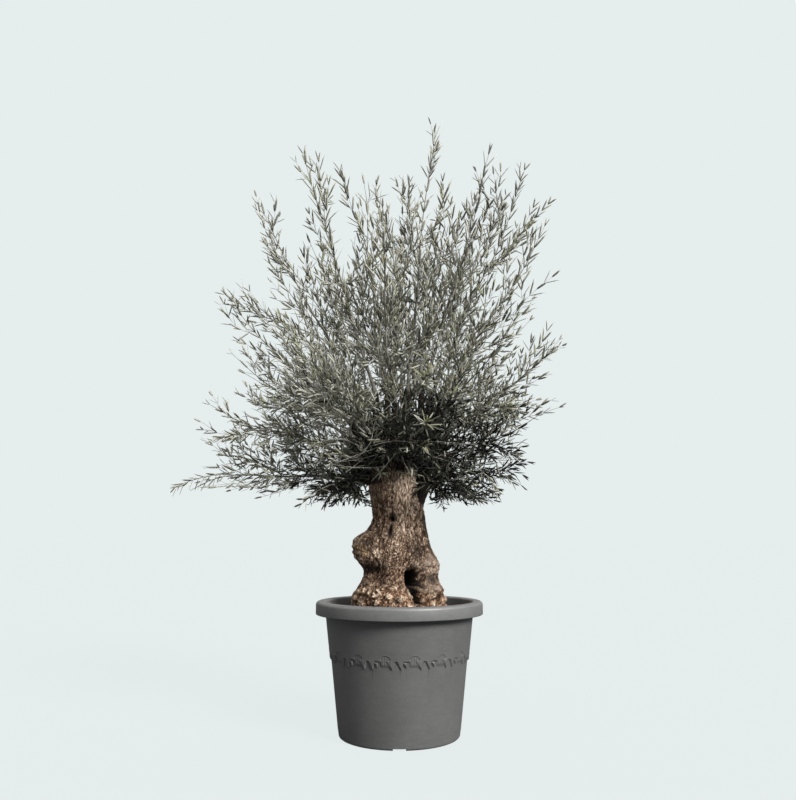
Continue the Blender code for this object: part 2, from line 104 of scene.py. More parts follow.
# Name, azimuth, height, how far it stands out, its spread upwards and its spread round the trunk
TRUNK_FORMS = (
    ("left burl", 187, 0.654, 0.057, 0.036, 30),
    ("left shelf", 200, 0.604, 0.016, 0.018, 24),
    ("left root", 192, 0.480, 0.012, 0.024, 26),
    ("right burl", 352, 0.588, 0.022, 0.030, 26),
    ("right knuckle", 325, 0.500, 0.020, 0.022, 20),
    ("front root", 255, 0.450, 0.014, 0.026, 20),
    ("cavity", 293, 0.545, -0.062, 0.026, 12),
    ("cavity mouth", 290, 0.475, -0.036, 0.038, 9),
    ("fork groove", 321, 0.890, -0.030, 0.075, 9),
    ("left undercut", 219, 0.568, -0.014, 0.018, 14),
    ("knot hole", 254, 0.748, -0.016, 0.012, 9),
    ("rear burl", 80, 0.600, 0.030, 0.050, 34),
    ("right shoulder", 22, 0.890, 0.012, 0.060, 24),
)
FLUTES, FLUTE_DEPTH, FLUTE_TWIST = 5, 0.035, 3.0
ROOT_LOBES, ROOT_LOBE_DEPTH, ROOT_LOBE_HEIGHT = 7, 0.050, 0.11

HUB = Vector((0.0, 0.0, 0.920))
STUB_REACH = 0.136
POLE_SPREAD, POLE_EDGE, SIDE_SPREAD = 2.0, 30.0, 0.64
BOUGH_RADIUS, BOUGH_RADIUS_BY_REACH, BOUGH_TAPER = 0.0095, 0.0050, 0.62
BOUGH_SHARE, BOUGH_LEAST, BOUGH_MOST = 0.27, 0.210, 0.310
BOUGH_EASE = 0.045
# Name, azimuth, elevation, reach of the furthest leaf from the hub
MASSES = (
    ("top_spire", 15, 84, 1.465),
    ("right_spire", -20, 73, 1.31),
    ("right_high", 14, 67, 1.435),
    ("right_upper", -16, 58, 1.11),
    ("right_mid", 8, 40, 0.88),
    ("right_low", -12, 20, 0.60),
    ("right_skirt", 8, -2, 0.52),
    ("middle_spire", 150, 80, 1.15),
    ("left_spire", 189, 73, 1.35),
    ("left_high", 168, 62, 1.30),
    ("left_upper", 194, 44, 0.96),
    ("left_mid", 168, 35, 0.89),
    ("left_low", 193, 18, 0.785),
    ("left_skirt", 175, -3, 0.855),
    ("front_high", 262, 61, 1.02),
    ("front_left", 230, 38, 0.82),
    ("front_right", 312, 40, 0.78),
    ("front_low", 272, 20, 0.60),
    ("front_left_skirt", 226, -10, 0.46),
    ("front_right_skirt", 314, -10, 0.44),
    ("back_high", 85, 60, 1.08),
    ("back_left", 130, 40, 0.86),
    ("back_right", 50, 42, 0.84),
    ("back_low", 92, 20, 0.62),
    ("back_left_skirt", 132, -6, 0.56),
    ("back_right_skirt", 46, -8, 0.50),
)
SKIRT_DROOP, WHIP_ARCH = -0.10, 0.055
TIP_LEAF = 0.100
COARSE_LEADER, COARSE_SIDE = 5, 3  # points that the solids' leaders and side whips have
SIDE_WHIPS = 4
SIDE_FIRST, SIDE_LAST = 0.028, 0.36
SIDE_OPENING, SIDE_SHRINK, SIDE_TRIES = 15.0, 0.82, 12
SIDE_REACH = (0.60, 0.89)
GOLDEN_ANGLE = math.radians(137.5)
WHIP_MARGIN, TRUNK_MARGIN = 0.012, 0.012
CROWN_FLOOR = 0.800

# ---------------------------------------------------------------- sizes of the finer growth

FOLIAGE_SEED, NOISE_SEED = 77, 5
# From the hub: where the crown starts to open, and where it is open
HEART_REACH, OPEN_REACH = 0.24, 0.66
# Middles and half sizes of the places under the crown painted as shade, where near-black leaves and stems
# stand
SHADES = (
    (Vector((0.28, -0.02, 0.915)), Vector((0.56, 0.55, 0.195))),
    (Vector((0.08, -0.08, 0.985)), Vector((0.25, 0.50, 0.215))),
    (Vector((-0.14, -0.04, 0.855)), Vector((0.28, 0.46, 0.105))),
)
SHADE_REACH, SHADE_FADE = 1.22, 0.72  # where a dark place ends and how wide it fades, in half sizes
FINE_POINTS = 26  # points along a whip
BOUGH_ROOT = 0.045  # how deep in the trunk's head a bough begins, from the hub
WHIP_TIP_RADIUS = 0.0009
# How early whips get thin, and a side whip's share of the bough's end
WHIP_FALL, SIDE_WHIP_SHARE = 0.42, 0.45
WHIP_SIDES, SHOOT_SIDES, STEM_SIDES = 6, 4, 5
# How far a whip strays from its smooth line and how tightly it bends, in long bends and in short ones
WANDER, WANDER_SHORT = (0.034, 2.6), (0.005, 9.0)

# SPACING, LONGEST, ANGLE and LIFT are pairs: in the heart of the crown, and in its open outer growth
SHOOT_SPACING = (0.034, 0.120)
SHOOT_LONGEST = (0.19, 0.42)
SHOOT_ANGLE = (58.0, 46.0)
SHOOT_LEAST = 0.045
SHOOT_VARIES = (0.38, 1.10)  # share of the longest
SHOOT_POINTS = 9
SHOOT_TRIES, SHOOT_SHRINK = 5, 0.74  # a shoot that does not fit is tried again at this share of its length
SHOOT_LIFT = (0.04, 0.34)
SHOOT_CURVE = 0.12  # how far a shoot bows, as a share of its length
SHOOT_RADIUS, SHOOT_TIP_RADIUS = 0.0010, 0.0005
TWIGLET_FROM = 0.110  # a shoot at least this long carries twiglets
TWIGLET_SPACING = (0.045, 0.085)
TWIGLET_FIRST, TWIGLET_SHARE = 0.035, 0.45
SHOOT_MARGIN = -0.022  # a shoot may come this much nearer to another limb than to its own
REACH_MARGIN = 0.026  # how far past its mass's reach a leaf may stand
PAIR_SPACING = (0.022, 0.037)
PAIR_FIRST = 0.018
WHIP_BARE = 0.30  # share of a whip that has lost its own leaves
# How much further apart than usual the shoots of a mass stand; closer where it is under 1
THINNED = {
    "left_skirt": 0.76,
    "left_low": 0.88,
    "left_mid": 1.05,
    "right_skirt": 1.15,
    "middle_spire": 1.10,
    "front_high": 1.25,
    "back_high": 1.35,
    "left_high": 1.05,
    "right_spire": 1.12,
    "right_high": 1.32,
    "right_upper": 1.50,
    "front_right": 1.10,
    "front_left_skirt": 1.25,
    "front_right_skirt": 1.25,
    "back_right_skirt": 1.25,
}
HEART_LEAF = 0.051
OUTER_LEAF, OUTER_LEAF_HEIGHTS = (0.047, 0.066), (1.00, 1.65)  # outer leaves are longer towards the top
LEAF_WIDTH, USUAL_LEAF = 0.0081, 0.053
STAR_LEAF_WIDTH = 0.64  # share of the usual width
SPRAY_SIZES, LEAF_SIZES = (0.76, 1.16), (0.86, 1.10)  # how a spray's leaves and each of its pairs vary
TIP_TAPER, TIP_LEAF_SIZE = 0.045, 0.76  # the leaves get smaller over this length to a shoot's tip
TIP_PAIR_SIZES, TIP_PAIR_ANGLES = (0.55, 0.80), (10.0, 30.0)
LEAF_THICKNESS = 0.0006
LEAF_ANGLE = ((30.0, 70.0), (23.0, 45.0))  # ranges in the heart and in open growth
LEAF_SKY_TURN = 0.28  # how far a leaf turns its upper side to the sky
LEAF_LOST = 0.06
# Low outer leaves hang: height over the hub, reach and pull
HANG_BELOW, HANG_FROM, LEAF_HANG = 0.06, 0.40, 0.55

# The fringe stands higher on the far left: how much, from which X, and over what width it gets there
FRINGE_RISE, FRINGE_FROM, FRINGE_WIDTH = 0.055, -0.26, 0.10

HEAD_SPROUTS, SPROUT_HEIGHTS, SPROUT_SIZES = 150, (0.908, 0.985), (0.06, 0.15)
BARE_TWIGS, BARE_TWIG_SIZES = 46, (0.12, 0.30)
# Azimuth, elevation and distance from the hub of shoots that end in a rosette of long leaves
ROSETTES = (
    (280, 14, 0.50),
    (280, 29, 0.55),
    (236, 8, 0.47),
    (318, 22, 0.52),
    (20, 10, 0.50),
    (60, 18, 0.52),
    (105, 12, 0.50),
    (150, 16, 0.52),
    (205, 24, 0.56),
)
ROSETTE_LEAVES = 14
# Bare stems in front of the crown and under it: radius at the root and at the tip, then places along it
BARE_STEMS = (
    (0.0009, 0.0007, (
        (0.002, -0.44, 1.135), (-0.037, -0.46, 1.092), (-0.076, -0.45, 1.050), (-0.094, -0.44, 0.979),
        (-0.139, -0.43, 0.934), (-0.196, -0.42, 0.940), (-0.222, -0.41, 0.908),
    )),
    (0.0008, 0.0006, ((-0.011, -0.36, 0.957), (-0.043, -0.37, 0.916), (-0.093, -0.36, 0.862))),
    (0.0008, 0.0006, ((-0.087, -0.40, 0.976), (-0.018, -0.41, 0.990), (0.052, -0.40, 0.984))),
    (0.0008, 0.0007, ((0.159, -0.52, 1.151), (0.142, -0.52, 1.120), (0.127, -0.51, 1.085))),
    (0.0011, 0.0009, (
        (-0.215, -0.20, 0.880), (-0.222, -0.20, 0.845), (-0.205, -0.20, 0.815),
        (-0.174, -0.20, 0.807), (-0.142, -0.20, 0.820), (-0.131, -0.20, 0.860),
    )),
)
DEEP, OLIVE, SILVER, YOUNG = 1, 2, 3, 4  # places in TONES
# Stars of leaves at the ends of stems: place, way, number of leaves and tone
STARS = (
    ((-0.222, -0.415, 0.915), (-0.35, -0.55, -0.75), 7, SILVER),
    ((-0.188, -0.425, 0.948), (-0.60, -0.70, 0.25), 6, SILVER),
    ((0.040, -0.300, 0.905), (0.10, -0.60, 0.60), 8, YOUNG),
    ((0.217, -0.270, 0.912), (0.20, -0.60, 0.50), 7, YOUNG),
    ((-0.020, 0.300, 0.920), (-0.10, 0.60, 0.50), 8, YOUNG),
)
# Shoots with broad-angled leaves that hang from the fringe: root and tip
HANGING_SHOOTS = (
    ((-0.220, -0.25, 0.862), (-0.338, -0.27, 0.780)),
    ((-0.600, -0.06, 0.918), (-0.812, -0.07, 0.862)),
    ((0.250, -0.20, 0.930), (0.330, -0.24, 0.835)),
    ((0.120, 0.24, 0.900), (0.180, 0.33, 0.815)),
    ((-0.200, 0.20, 0.905), (-0.300, 0.26, 0.820)),
)
SPRIG_HANGS = 0.085  # how far under the fringe these, the stars and the curls may hang
# Middle and radius of a loose ring of thin leafy shoots
CURLS = (((0.076, -0.450, 1.198), 0.028), ((-0.060, 0.470, 1.180), 0.028))
CURL_SHOOTS, CURL_TURN = 5, 3.6  # CURL_TURN, in radians, is how far round each shoot winds

# Leaf tones: name, upper side, underside, the share of sprays in open growth, in the heart and in the shade,
# and how much more of them stand on the left than on the right
TONES = (
    # The shaded tone is near black: painted shade for leaves under the crown
    ("shaded", (0.009, 0.010, 0.007), (0.025, 0.026, 0.020), 0.00, 0.04, 0.84, -0.9),
    ("deep", (0.074, 0.077, 0.056), (0.180, 0.184, 0.155), 0.34, 0.26, 0.13, -1.3),
    ("olive", (0.180, 0.177, 0.122), (0.345, 0.342, 0.284), 0.40, 0.38, 0.04, 0.0),
    ("silver", (0.320, 0.320, 0.270), (0.450, 0.452, 0.405), 0.22, 0.30, 0.015, 1.3),
    ("young", (0.190, 0.205, 0.105), (0.330, 0.345, 0.230), 0.04, 0.04, 0.00, 0.0),
)
TONE_SIDE = 0.45  # how far from the middle the left and right differ most
# Height where the two sides are alike, and how far below it they differ fully
TONE_SIDE_TOP, TONE_SIDE_FADE = 1.80, 0.55
STRAY_TONE = 0.30  # chance that the tone of a leaf is drawn apart from its spray's
# Streaks of the stems out in the light, and of those under the crown, which are painted near black as shade
PALE_STEM = ((0.120, 0.114, 0.095), (0.300, 0.292, 0.255))
DARK_STEM = ((0.010, 0.009, 0.007), (0.045, 0.041, 0.034))

TRUNK_SIDES, TRUNK_RINGS = 300, 310
BOUGH_SIDES, BOUGH_RINGS = 16, 22
PLANTER_SEGMENTS = 768
END_COLOUR = (0.3, 0.0, 0.0, 1.0)  # of the middles of the trunk's ends

CAMERA_PLACE = (-0.0048, -2.8972, 0.6818)
CAMERA_PITCH = 0.1758
CAMERA_LENS = 35.0
BACKGROUND = (0.791, 0.847, 0.847)
KEY_AZIMUTH, KEY_ELEVATION = 43.0, 31.0  # to the right of the camera's side, and above the floor
KEY_POWER, KEY_SPREAD = 5.8, 22.0
SKY_ZENITH, SKY_HORIZON, SKY_FLOOR = 1.30, 0.145, 0.04
FLOOR_SHARE, FLOOR_GLOW = 0.03, 0.942
FLOOR_BOUNCE = 0.12


# ---------------------------------------------------------------- mesh helpers


def add_object(name, data):
    obj = bpy.data.objects.new(name, data)
    bpy.context.scene.collection.objects.link(obj)
    return obj


def object_from(name, points, faces, materials, slots=None):
    """An object from points and an array of faces, or a list of such arrays with 3 or 4 corners a face."""
    mesh = bpy.data.meshes.new(name)
    groups = faces if isinstance(faces, list) else [faces]
    corners = np.concatenate([np.asarray(g, np.int32).ravel() for g in groups])
    totals = np.concatenate([np.full(len(g), np.asarray(g).shape[1], np.int32) for g in groups])
    starts = np.concatenate([[0], np.cumsum(totals)[:-1]]).astype(np.int32)
    points = np.asarray(points, np.float32)
    mesh.vertices.add(len(points))
    mesh.vertices.foreach_set("co", points.ravel())
    mesh.loops.add(len(corners))
    mesh.loops.foreach_set("vertex_index", corners)
    mesh.polygons.add(len(totals))
    mesh.polygons.foreach_set("loop_start", starts)
    mesh.polygons.foreach_set("loop_total", totals)
    for material in materials:
        mesh.materials.append(material)
    if slots is not None:
        mesh.polygons.foreach_set("material_index", np.asarray(slots, np.int32))
    mesh.update(calc_edges=True)
    mesh.validate()
    return add_object(name, mesh)


def finish_piece(obj, nodes, smooth=True):
    """Gives a piece its body and hides the nodes that it replaces."""
    if smooth:
        obj.data.shade_smooth()
    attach(obj, "root")
    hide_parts(*nodes)


def round_axis(radius, turns, z):
    """Points at a radius and a turn round the Z axis, at a height."""
    return np.stack(np.broadcast_arrays(radius * np.cos(turns), radius * np.sin(turns), z), axis=-1)


def grid_faces(rows, columns):
    """Quads of a grid that closes on itself round each row."""
    row = np.arange(rows - 1)[:, None] * columns
    here = np.arange(columns)[None, :]
    after = (here + 1) % columns
    corners = [row + here, row + after, row + columns + after, row + columns + here]
    return np.stack(corners, axis=2).reshape(-1, 4)


def cap_faces(ring_start, columns, centre, flip):
    """Triangles from one ring of a grid to a middle point."""
    here = ring_start + np.arange(columns)
    after = ring_start + (np.arange(columns) + 1) % columns
    faces = np.stack([np.full(columns, centre), here, after], axis=1)
    return faces[:, ::-1] if flip else faces


def closed_surface(name, rows, low, high, material):
    """An object from rings of points, closed at its first and last ring round the points low and high."""
    columns = len(rows[0])
    points = np.concatenate([*rows, [low, high]])
    first = cap_faces(0, columns, len(points) - 2, True)
    last = cap_faces((len(rows) - 1) * columns, columns, len(points) - 1, False)
    faces = [grid_faces(len(rows), columns), np.concatenate([first, last])]
    return object_from(name, points, faces, [material])


def store_colour(obj, name, *channels):
    """Three values for each vertex, which a material reads by name. Vertices past them get END_COLOUR."""
    layer = obj.data.color_attributes.new(name, "FLOAT_COLOR", "POINT")
    rgba = np.tile(np.array(END_COLOUR, np.float32), (len(obj.data.vertices), 1))
    rgba[: channels[0].size, :3] = np.stack([channel.ravel() for channel in channels], axis=1)
    layer.data.foreach_set("color", rgba.ravel())


# ---------------------------------------------------------------- node materials


class Nodes:
    """Short calls to add nodes to a node tree."""

    def __init__(self, tree):
        self.tree = tree

    def add(self, kind, **values):
        node = self.tree.nodes.new(kind)
        for key, value in values.items():
            if key in node.inputs:
                node.inputs[key].default_value = value
            else:
                setattr(node, key, value)
        return node

    def link(self, start, end):
        self.tree.links.new(start, end)

    def height(self, space="Object"):
        split = self.add("ShaderNodeSeparateXYZ")
        self.link(self.add("ShaderNodeTexCoord").outputs[space], split.inputs[0])
        return split.outputs["Z"]

    def noise(self, scale, detail, roughness, stretch=(1.0, 1.0, 1.0)):
        node = self.add("ShaderNodeTexNoise", Scale=scale, Detail=detail, Roughness=roughness)
        mapping = self.add("ShaderNodeMapping", Scale=stretch)
        self.link(self.add("ShaderNodeTexCoord").outputs["Object"], mapping.inputs["Vector"])
        self.link(mapping.outputs["Vector"], node.inputs["Vector"])
        return node.outputs["Fac"]

    def ramp(self, source, stops):
        """A colour for a value; each stop is a value with its colour or grey."""
        node = self.add("ShaderNodeValToRGB")
        elements = node.color_ramp.elements
        while len(elements) < len(stops):
            elements.new(0.5)
        for element, (place, colour) in zip(elements, stops):
            element.position = place
            element.color = (*(colour if isinstance(colour, tuple) else [colour] * 3), 1.0)
        self.link(source, node.inputs["Fac"])
        return node.outputs["Color"]

    def mix(self, share, first, second, blend="MIX"):
        """Colour mix; share, first and second are sockets, numbers or colours."""
        node = self.add("ShaderNodeMix", data_type="RGBA", blend_type=blend)
        for index, value in ((0, share), (6, first), (7, second)):
            if isinstance(value, bpy.types.NodeSocket):
                self.link(value, node.inputs[index])
            elif index == 0:
                node.inputs[index].default_value = value
            else:
                node.inputs[index].default_value = (*value, 1.0)
        return node.outputs[2]

    def times(self, share, colour, source, stops):
        """A colour multiplied by a ramp."""
        return self.mix(share, colour, self.ramp(source, stops), "MULTIPLY")

    def channels(self, attribute):
        source = self.add("ShaderNodeAttribute", attribute_name=attribute)
        split = self.add("ShaderNodeSeparateColor")
        self.link(source.outputs["Color"], split.inputs["Color"])
        return split.outputs

    def finish(self, output, seen, lighting):
        """Shows one shader where it is seen directly, and lights the scene with the other."""
        mix = self.add("ShaderNodeMixShader")
        self.link(self.add("ShaderNodeLightPath").outputs["Is Camera Ray"], mix.inputs[0])
        self.link(lighting.outputs[0], mix.inputs[1])
        self.link(seen.outputs[0], mix.inputs[2])
        self.link(mix.outputs[0], self.tree.nodes[output].inputs["Surface"])


class Material(Nodes):
    """A material with a Principled shader."""

    def __init__(self, name, roughness, colour=None, specular=0.5):
        self.material = bpy.data.materials.new(name)
        self.material.use_nodes = True
        super().__init__(self.material.node_tree)
        self.shader = self.tree.nodes["Principled BSDF"]
        self.shader.inputs["Roughness"].default_value = roughness
        self.shader.inputs["Specular IOR Level"].default_value = specular
        if colour:
            self.shader.inputs["Base Color"].default_value = (*colour, 1.0)

    def colour(self, socket):
        self.link(socket, self.shader.inputs["Base Color"])

    def bump(self, height, distance, strength=1.0):
        node = self.add("ShaderNodeBump", Strength=strength, Distance=distance)
        self.link(height, node.inputs["Height"])
        self.link(node.outputs["Normal"], self.shader.inputs["Normal"])


def bark_material():
    """Flecked tan bark over dark fissures, with pale root crusts, grey-pink burls, ochre places, and places
    painted darker or near black as shade.

    Attribute bark: relief, crust, burl. Attribute tint: painted shade, ochre, redness.
    """
    made = Material("bark", 0.84, specular=0.20)
    relief, crust, burl = made.channels("bark")
    shade, ochre, redness = made.channels("tint")
    upper = made.ramp(made.height(), ((0.63, 0.0), (0.76, 1.0)))
    crumbs = made.noise(1.0, 2.0, 0.60, stretch=(225.0, 225.0, 120.0))
    fibres = made.noise(1.0, 2.0, 0.60, stretch=(250.0, 250.0, 52.0))
    specks = made.mix(upper, crumbs, fibres)
    grit = made.noise(420.0, 2.0, 0.6)
    patches = made.noise(34.0, 3.0, 0.6)
    colour = made.ramp(relief, BARK_RAMP)
    for share, stops in ((redness, RED_RAMP), (crust, CRUST_RAMP), (burl, BURL_RAMP)):
        colour = made.mix(share, colour, made.ramp(relief, stops))
    colour = made.mix(ochre, colour, made.ramp(grit, OCHRE_RAMP))
    flecks = made.mix(burl, made.ramp(specks, FLECK_RAMP), (1.0, 0.99, 0.98))
    colour = made.mix(0.85, colour, flecks, "MULTIPLY")
    colour = made.times(0.55, colour, grit, ((0.36, (0.50, 0.47, 0.45)), (0.64, (1.45, 1.43, 1.40))))
    colour = made.times(0.70, colour, patches, ((0.36, (0.62, 0.56, 0.50)), (0.64, 1.22)))
    # painted shade: the bark goes near black where the tint's shade is high, in hollows, cracks and the
    # crown's shadow
    made.colour(made.mix(shade, colour, (0.0045, 0.0034, 0.0026)))
    made.bump(made.mix(0.45, specks, grit), 0.0030, 0.9)
    return made.material


def planter_material():
    """Matt grey plastic with a fine mottled grain, and the rim painted paler towards its top as painted
    light.
    """
    made = Material("planter_plastic", 0.46, specular=0.70)
    grain = made.noise(380.0, 3.0, 0.65)
    scuffs = made.noise(1.0, 4.0, 0.6, stretch=(34.0, 34.0, 90.0))
    cloud = made.noise(8.0, 4.0, 0.6)
    rim_low = PLANTER_HEIGHT - RIM_HEIGHT
    # painted light: the rim is paler, most on its rounded top where the light falls and the highlight sits
    rim_painted_light = ((rim_low - 0.002, 1.0), (rim_low + 0.002, 1.25), (PLANTER_HEIGHT, 1.45))
    colour = made.ramp(grain, ((0.30, (0.069, 0.070, 0.070)), (0.70, (0.101, 0.102, 0.102))))
    colour = made.times(0.6, colour, cloud, ((0.3, 0.86), (0.7, 1.10)))
    colour = made.times(0.5, colour, scuffs, ((0.40, 0.96), (0.72, (1.24, 1.24, 1.22))))
    made.colour(made.times(1.0, colour, made.height(), rim_painted_light))
    made.bump(grain, 0.0006, 0.7)
    return made.material


def soil_material():
    made = Material("potting_soil", 0.95, specular=0.2)
    crumbs = made.noise(180.0, 4.0, 0.7)
    fibre = made.noise(46.0, 5.0, 0.75)
    tones = ((0.30, (0.010, 0.007, 0.005)), (0.55, (0.045, 0.030, 0.020)), (0.78, (0.140, 0.100, 0.066)))
    made.colour(made.times(0.5, made.ramp(crumbs, tones), fibre, ((0.3, 0.6), (0.7, (1.2, 1.15, 1.1)))))
    made.bump(crumbs, 0.003)
    return made.material


def twig_material(name, dark, pale):
    made = Material(name, 0.62, specular=0.35)
    streaks = made.noise(60.0, 3.0, 0.6)
    made.colour(made.ramp(streaks, ((0.30, dark), (0.70, pale))))
    made.bump(streaks, 0.0008, 0.5)
    return made.material


def leaf_material(name, colour, roughness, specular):
    return Material(name, roughness, colour, specular).material


def floor_material():
    """Pale floor: near the backdrop's own colour where it is seen, with faint shadows and a modest bounce."""
    made = Material("floor", 1.0, [FLOOR_SHARE * c for c in BACKGROUND], specular=0.0)
    made.shader.inputs["Emission Color"].default_value = (*BACKGROUND, 1.0)
    made.shader.inputs["Emission Strength"].default_value = FLOOR_GLOW
    bounce = made.add("ShaderNodeBsdfDiffuse", Color=(*[FLOOR_BOUNCE * c for c in BACKGROUND], 1.0))
    made.finish("Material Output", made.shader, bounce)
    return made.material


# ---------------------------------------------------------------- planter and soil


def lower_radius(z):
    return FOOT_RADIUS + (STEP_RADIUS - FOOT_RADIUS) * z / STEP_Z


def wall_radius(z):
    slope = (WALL_TOP_RADIUS - STEP_RADIUS - STEP_DEPTH) / (PLANTER_HEIGHT - RIM_HEIGHT - STEP_Z)
    return STEP_RADIUS + STEP_DEPTH + slope * (z - STEP_Z) if z > STEP_Z else lower_radius(z)


def inner_radius(z):
    low = FOOT_RADIUS - WALL_THICKNESS
    return low + (WALL_TOP_RADIUS - WALL_THICKNESS - low) * z / (PLANTER_HEIGHT - RIM_HEIGHT)


GARLAND_LOW, GARLAND_HIGH = STEP_Z - 0.006, STEP_Z + 0.046
DRAPE_EDGE = 0.281  # height of the drape's lower edge between its tips
HOOD_TOP, HOOD_HALF, HOOD_MIDDLE = 0.303, 0.0175, 0.002
HOOD_FLOOR, HOOD_RIM = 0.0030, 0.0006
HOOD_RIM_WIDTH = 0.0016
HOOD_SHIFT = 0.5 * math.tau * STEP_RADIUS / GARLAND_REPEATS  # two hoods stand beside the front's middle
FOLD_RELIEF, FOLD_STEP, FOLD_FADE = 0.0009, 0.0085, 0.006
HOOD_FOOT, HOOD_FOOT_FADE = 0.262, 0.012  # height where the folds of a hood have run out
DRAPE_SOFT = 0.0034  # width of an edge in the relief
DRAPE_TIP_RELIEF = 0.0004
# The hanging tips of one repeat: corners as (distance round from the hood's middle, height)
DRAPE_TIPS = (
    ((0.004, 0.286), (0.024, 0.260), (0.031, 0.286)),
    ((0.040, 0.286), (0.053, 0.260), (0.059, 0.286)),
    ((0.062, 0.278), (0.073, 0.262), (0.077, 0.278)),
)


def inside(corners, place):
    """Distance inside a clockwise or anticlockwise triangle; negative outside it."""
    least = 1.0
    turn = 1.0 if cross(corners[0], corners[1], corners[2]) > 0 else -1.0
    for first, second in zip(corners, corners[1:] + corners[:1]):
        length = math.hypot(second[0] - first[0], second[1] - first[1])
        least = min(least, turn * cross(first, second, place) / length)
    return least


def cross(a, b, c):
    return (b[0] - a[0]) * (c[1] - a[1]) - (b[1] - a[1]) * (c[0] - a[0])


def ease(value):
    value = min(max(value, 0.0), 1.0)
    return value * value * (3 - 2 * value)


def garland(around, z):
    """How far the wall stands out of its lower line; around is the distance from a hood's middle."""
    repeat = math.tau * STEP_RADIUS / GARLAND_REPEATS
    around = (around + 0.25 * repeat) % repeat - 0.25 * repeat
    stands = STEP_DEPTH * ease((z - DRAPE_EDGE) / DRAPE_SOFT)
    for corners in DRAPE_TIPS:
        depth = inside(corners, (around, z))
        if depth > -DRAPE_SOFT:
            lean = ease((around - corners[0][0]) / (corners[2][0] - corners[0][0]))
            low = ease((corners[0][1] + FOLD_FADE - z) / FOLD_FADE)
            tip = STEP_DEPTH + DRAPE_TIP_RELIEF * (1.0 - lean) * low
            stands = max(stands, tip * ease(1.0 + depth / DRAPE_SOFT))
    across = (around - HOOD_MIDDLE) / HOOD_HALF
    if abs(across) < 1.25:
        arch = HOOD_TOP - HOOD_HALF * (1.0 - math.sqrt(max(0.0, 1.0 - min(1.0, across * across))))
        depth = min(arch - z, (1.0 - abs(across)) * HOOD_HALF)
        ridge = max(0.0, math.cos(math.tau * (around - HOOD_MIDDLE) / FOLD_STEP))
        fold = FOLD_RELIEF * ridge * ease((arch - z) / FOLD_FADE)
        foot = ease((z - HOOD_FOOT) / HOOD_FOOT_FADE)
        hollow = ease(depth / DRAPE_SOFT)
        if inside(DRAPE_TIPS[0], (around, z)) <= 0:
            stands = stands * (1.0 - hollow) + (HOOD_FLOOR + fold) * foot * hollow
        rim = math.exp(-((depth / HOOD_RIM_WIDTH) ** 2)) if z > DRAPE_EDGE - 0.004 else 0.0
        stands += HOOD_RIM * rim
    return stands


def arc(centre_radius, centre_z, radius, first, last, steps):
    turns = [math.radians(first + (last - first) * n / steps) for n in range(steps + 1)]
    return [(centre_radius + radius * math.cos(a), centre_z + radius * math.sin(a)) for a in turns]


def build_planter():
    """The planter: foot, wall, garland in relief, rolled rim and inner wall, with its drainage notches."""
    columns = PLANTER_SEGMENTS
    rim_low = PLANTER_HEIGHT - RIM_HEIGHT
    profile = [(FOOT_RADIUS * share, 0.0) for share in (0.3, 0.6, 0.85)]
    profile += arc(FOOT_RADIUS - FOOT_ROUNDING, FOOT_ROUNDING, FOOT_ROUNDING, -90, 4, 6)
    profile += [(wall_radius(z), z) for z in np.linspace(0.03, GARLAND_LOW - 0.002, 7)]
    band = np.linspace(GARLAND_LOW, GARLAND_HIGH, 36)
    profile += [("band", z) for z in band]
    profile += [(wall_radius(z), z) for z in np.linspace(GARLAND_HIGH + 0.004, rim_low - 0.001, 4)]
    profile += [(WALL_TOP_RADIUS + 0.002, rim_low), (RIM_RADIUS - 0.004, rim_low)]
    profile += arc(RIM_RADIUS - 0.003, rim_low + 0.003, 0.003, -60, 0, 3)
    profile += arc(RIM_RADIUS - RIM_ROUNDING, PLANTER_HEIGHT - RIM_ROUNDING, RIM_ROUNDING, 4, 90, 9)
    lip = 0.008
    profile += arc(RIM_INNER_RADIUS + lip, PLANTER_HEIGHT - lip, lip, 90, 180, 6)
    profile += [(inner_radius(rim_low), rim_low)]
    profile += [(inner_radius(z), z) for z in np.linspace(rim_low - 0.02, FLOOR_THICKNESS, 3)]
    turns = np.linspace(0.0, math.tau, columns, endpoint=False)
    rows = []
    for radius, z in profile:
        if radius == "band":
            blend = min(1.0, (GARLAND_HIGH - z) / 0.008)
            places = turns[: columns // GARLAND_REPEATS] * STEP_RADIUS + HOOD_SHIFT
            stands = np.array([garland(place, z) for place in places])
            radii = lower_radius(z) + np.tile(stands, GARLAND_REPEATS)
            radii = wall_radius(max(z, STEP_Z + 1e-6)) * (1 - blend) + radii * blend
        else:
            radii = radius
        rows.append(round_axis(radii, turns, z))
    ends = (0, 0, 0), (0, 0, FLOOR_THICKNESS)
    planter = closed_surface("planter_shell", rows, *ends, planter_material())
    for n in range(NOTCHES):
        cut_notch(planter, math.tau * n / NOTCHES)
    finish_piece(planter, ["planter"])
    planter.data.set_sharp_from_angle(angle=math.radians(38))


def cut_notch(planter, angle):
    bpy.ops.mesh.primitive_cube_add(size=1.0)
    cutter = bpy.context.object
    cutter.dimensions = (NOTCH_DEPTH * 2, NOTCH_WIDTH, NOTCH_HEIGHT * 2)
    cutter.location = (FOOT_RADIUS * math.cos(angle), FOOT_RADIUS * math.sin(angle), 0)
    cutter.rotation_euler = (0, 0, angle)
    cut = planter.modifiers.new("notch", "BOOLEAN")
    cut.operation = "DIFFERENCE"
    cut.solver = "EXACT"
    cut.object = cutter
    bpy.context.view_layer.update()
    evaluated = planter.evaluated_get(bpy.context.evaluated_depsgraph_get())
    notched = bpy.data.meshes.new_from_object(evaluated)
    planter.modifiers.clear()
    planter.data = notched
    bpy.data.objects.remove(cutter, do_unlink=True)


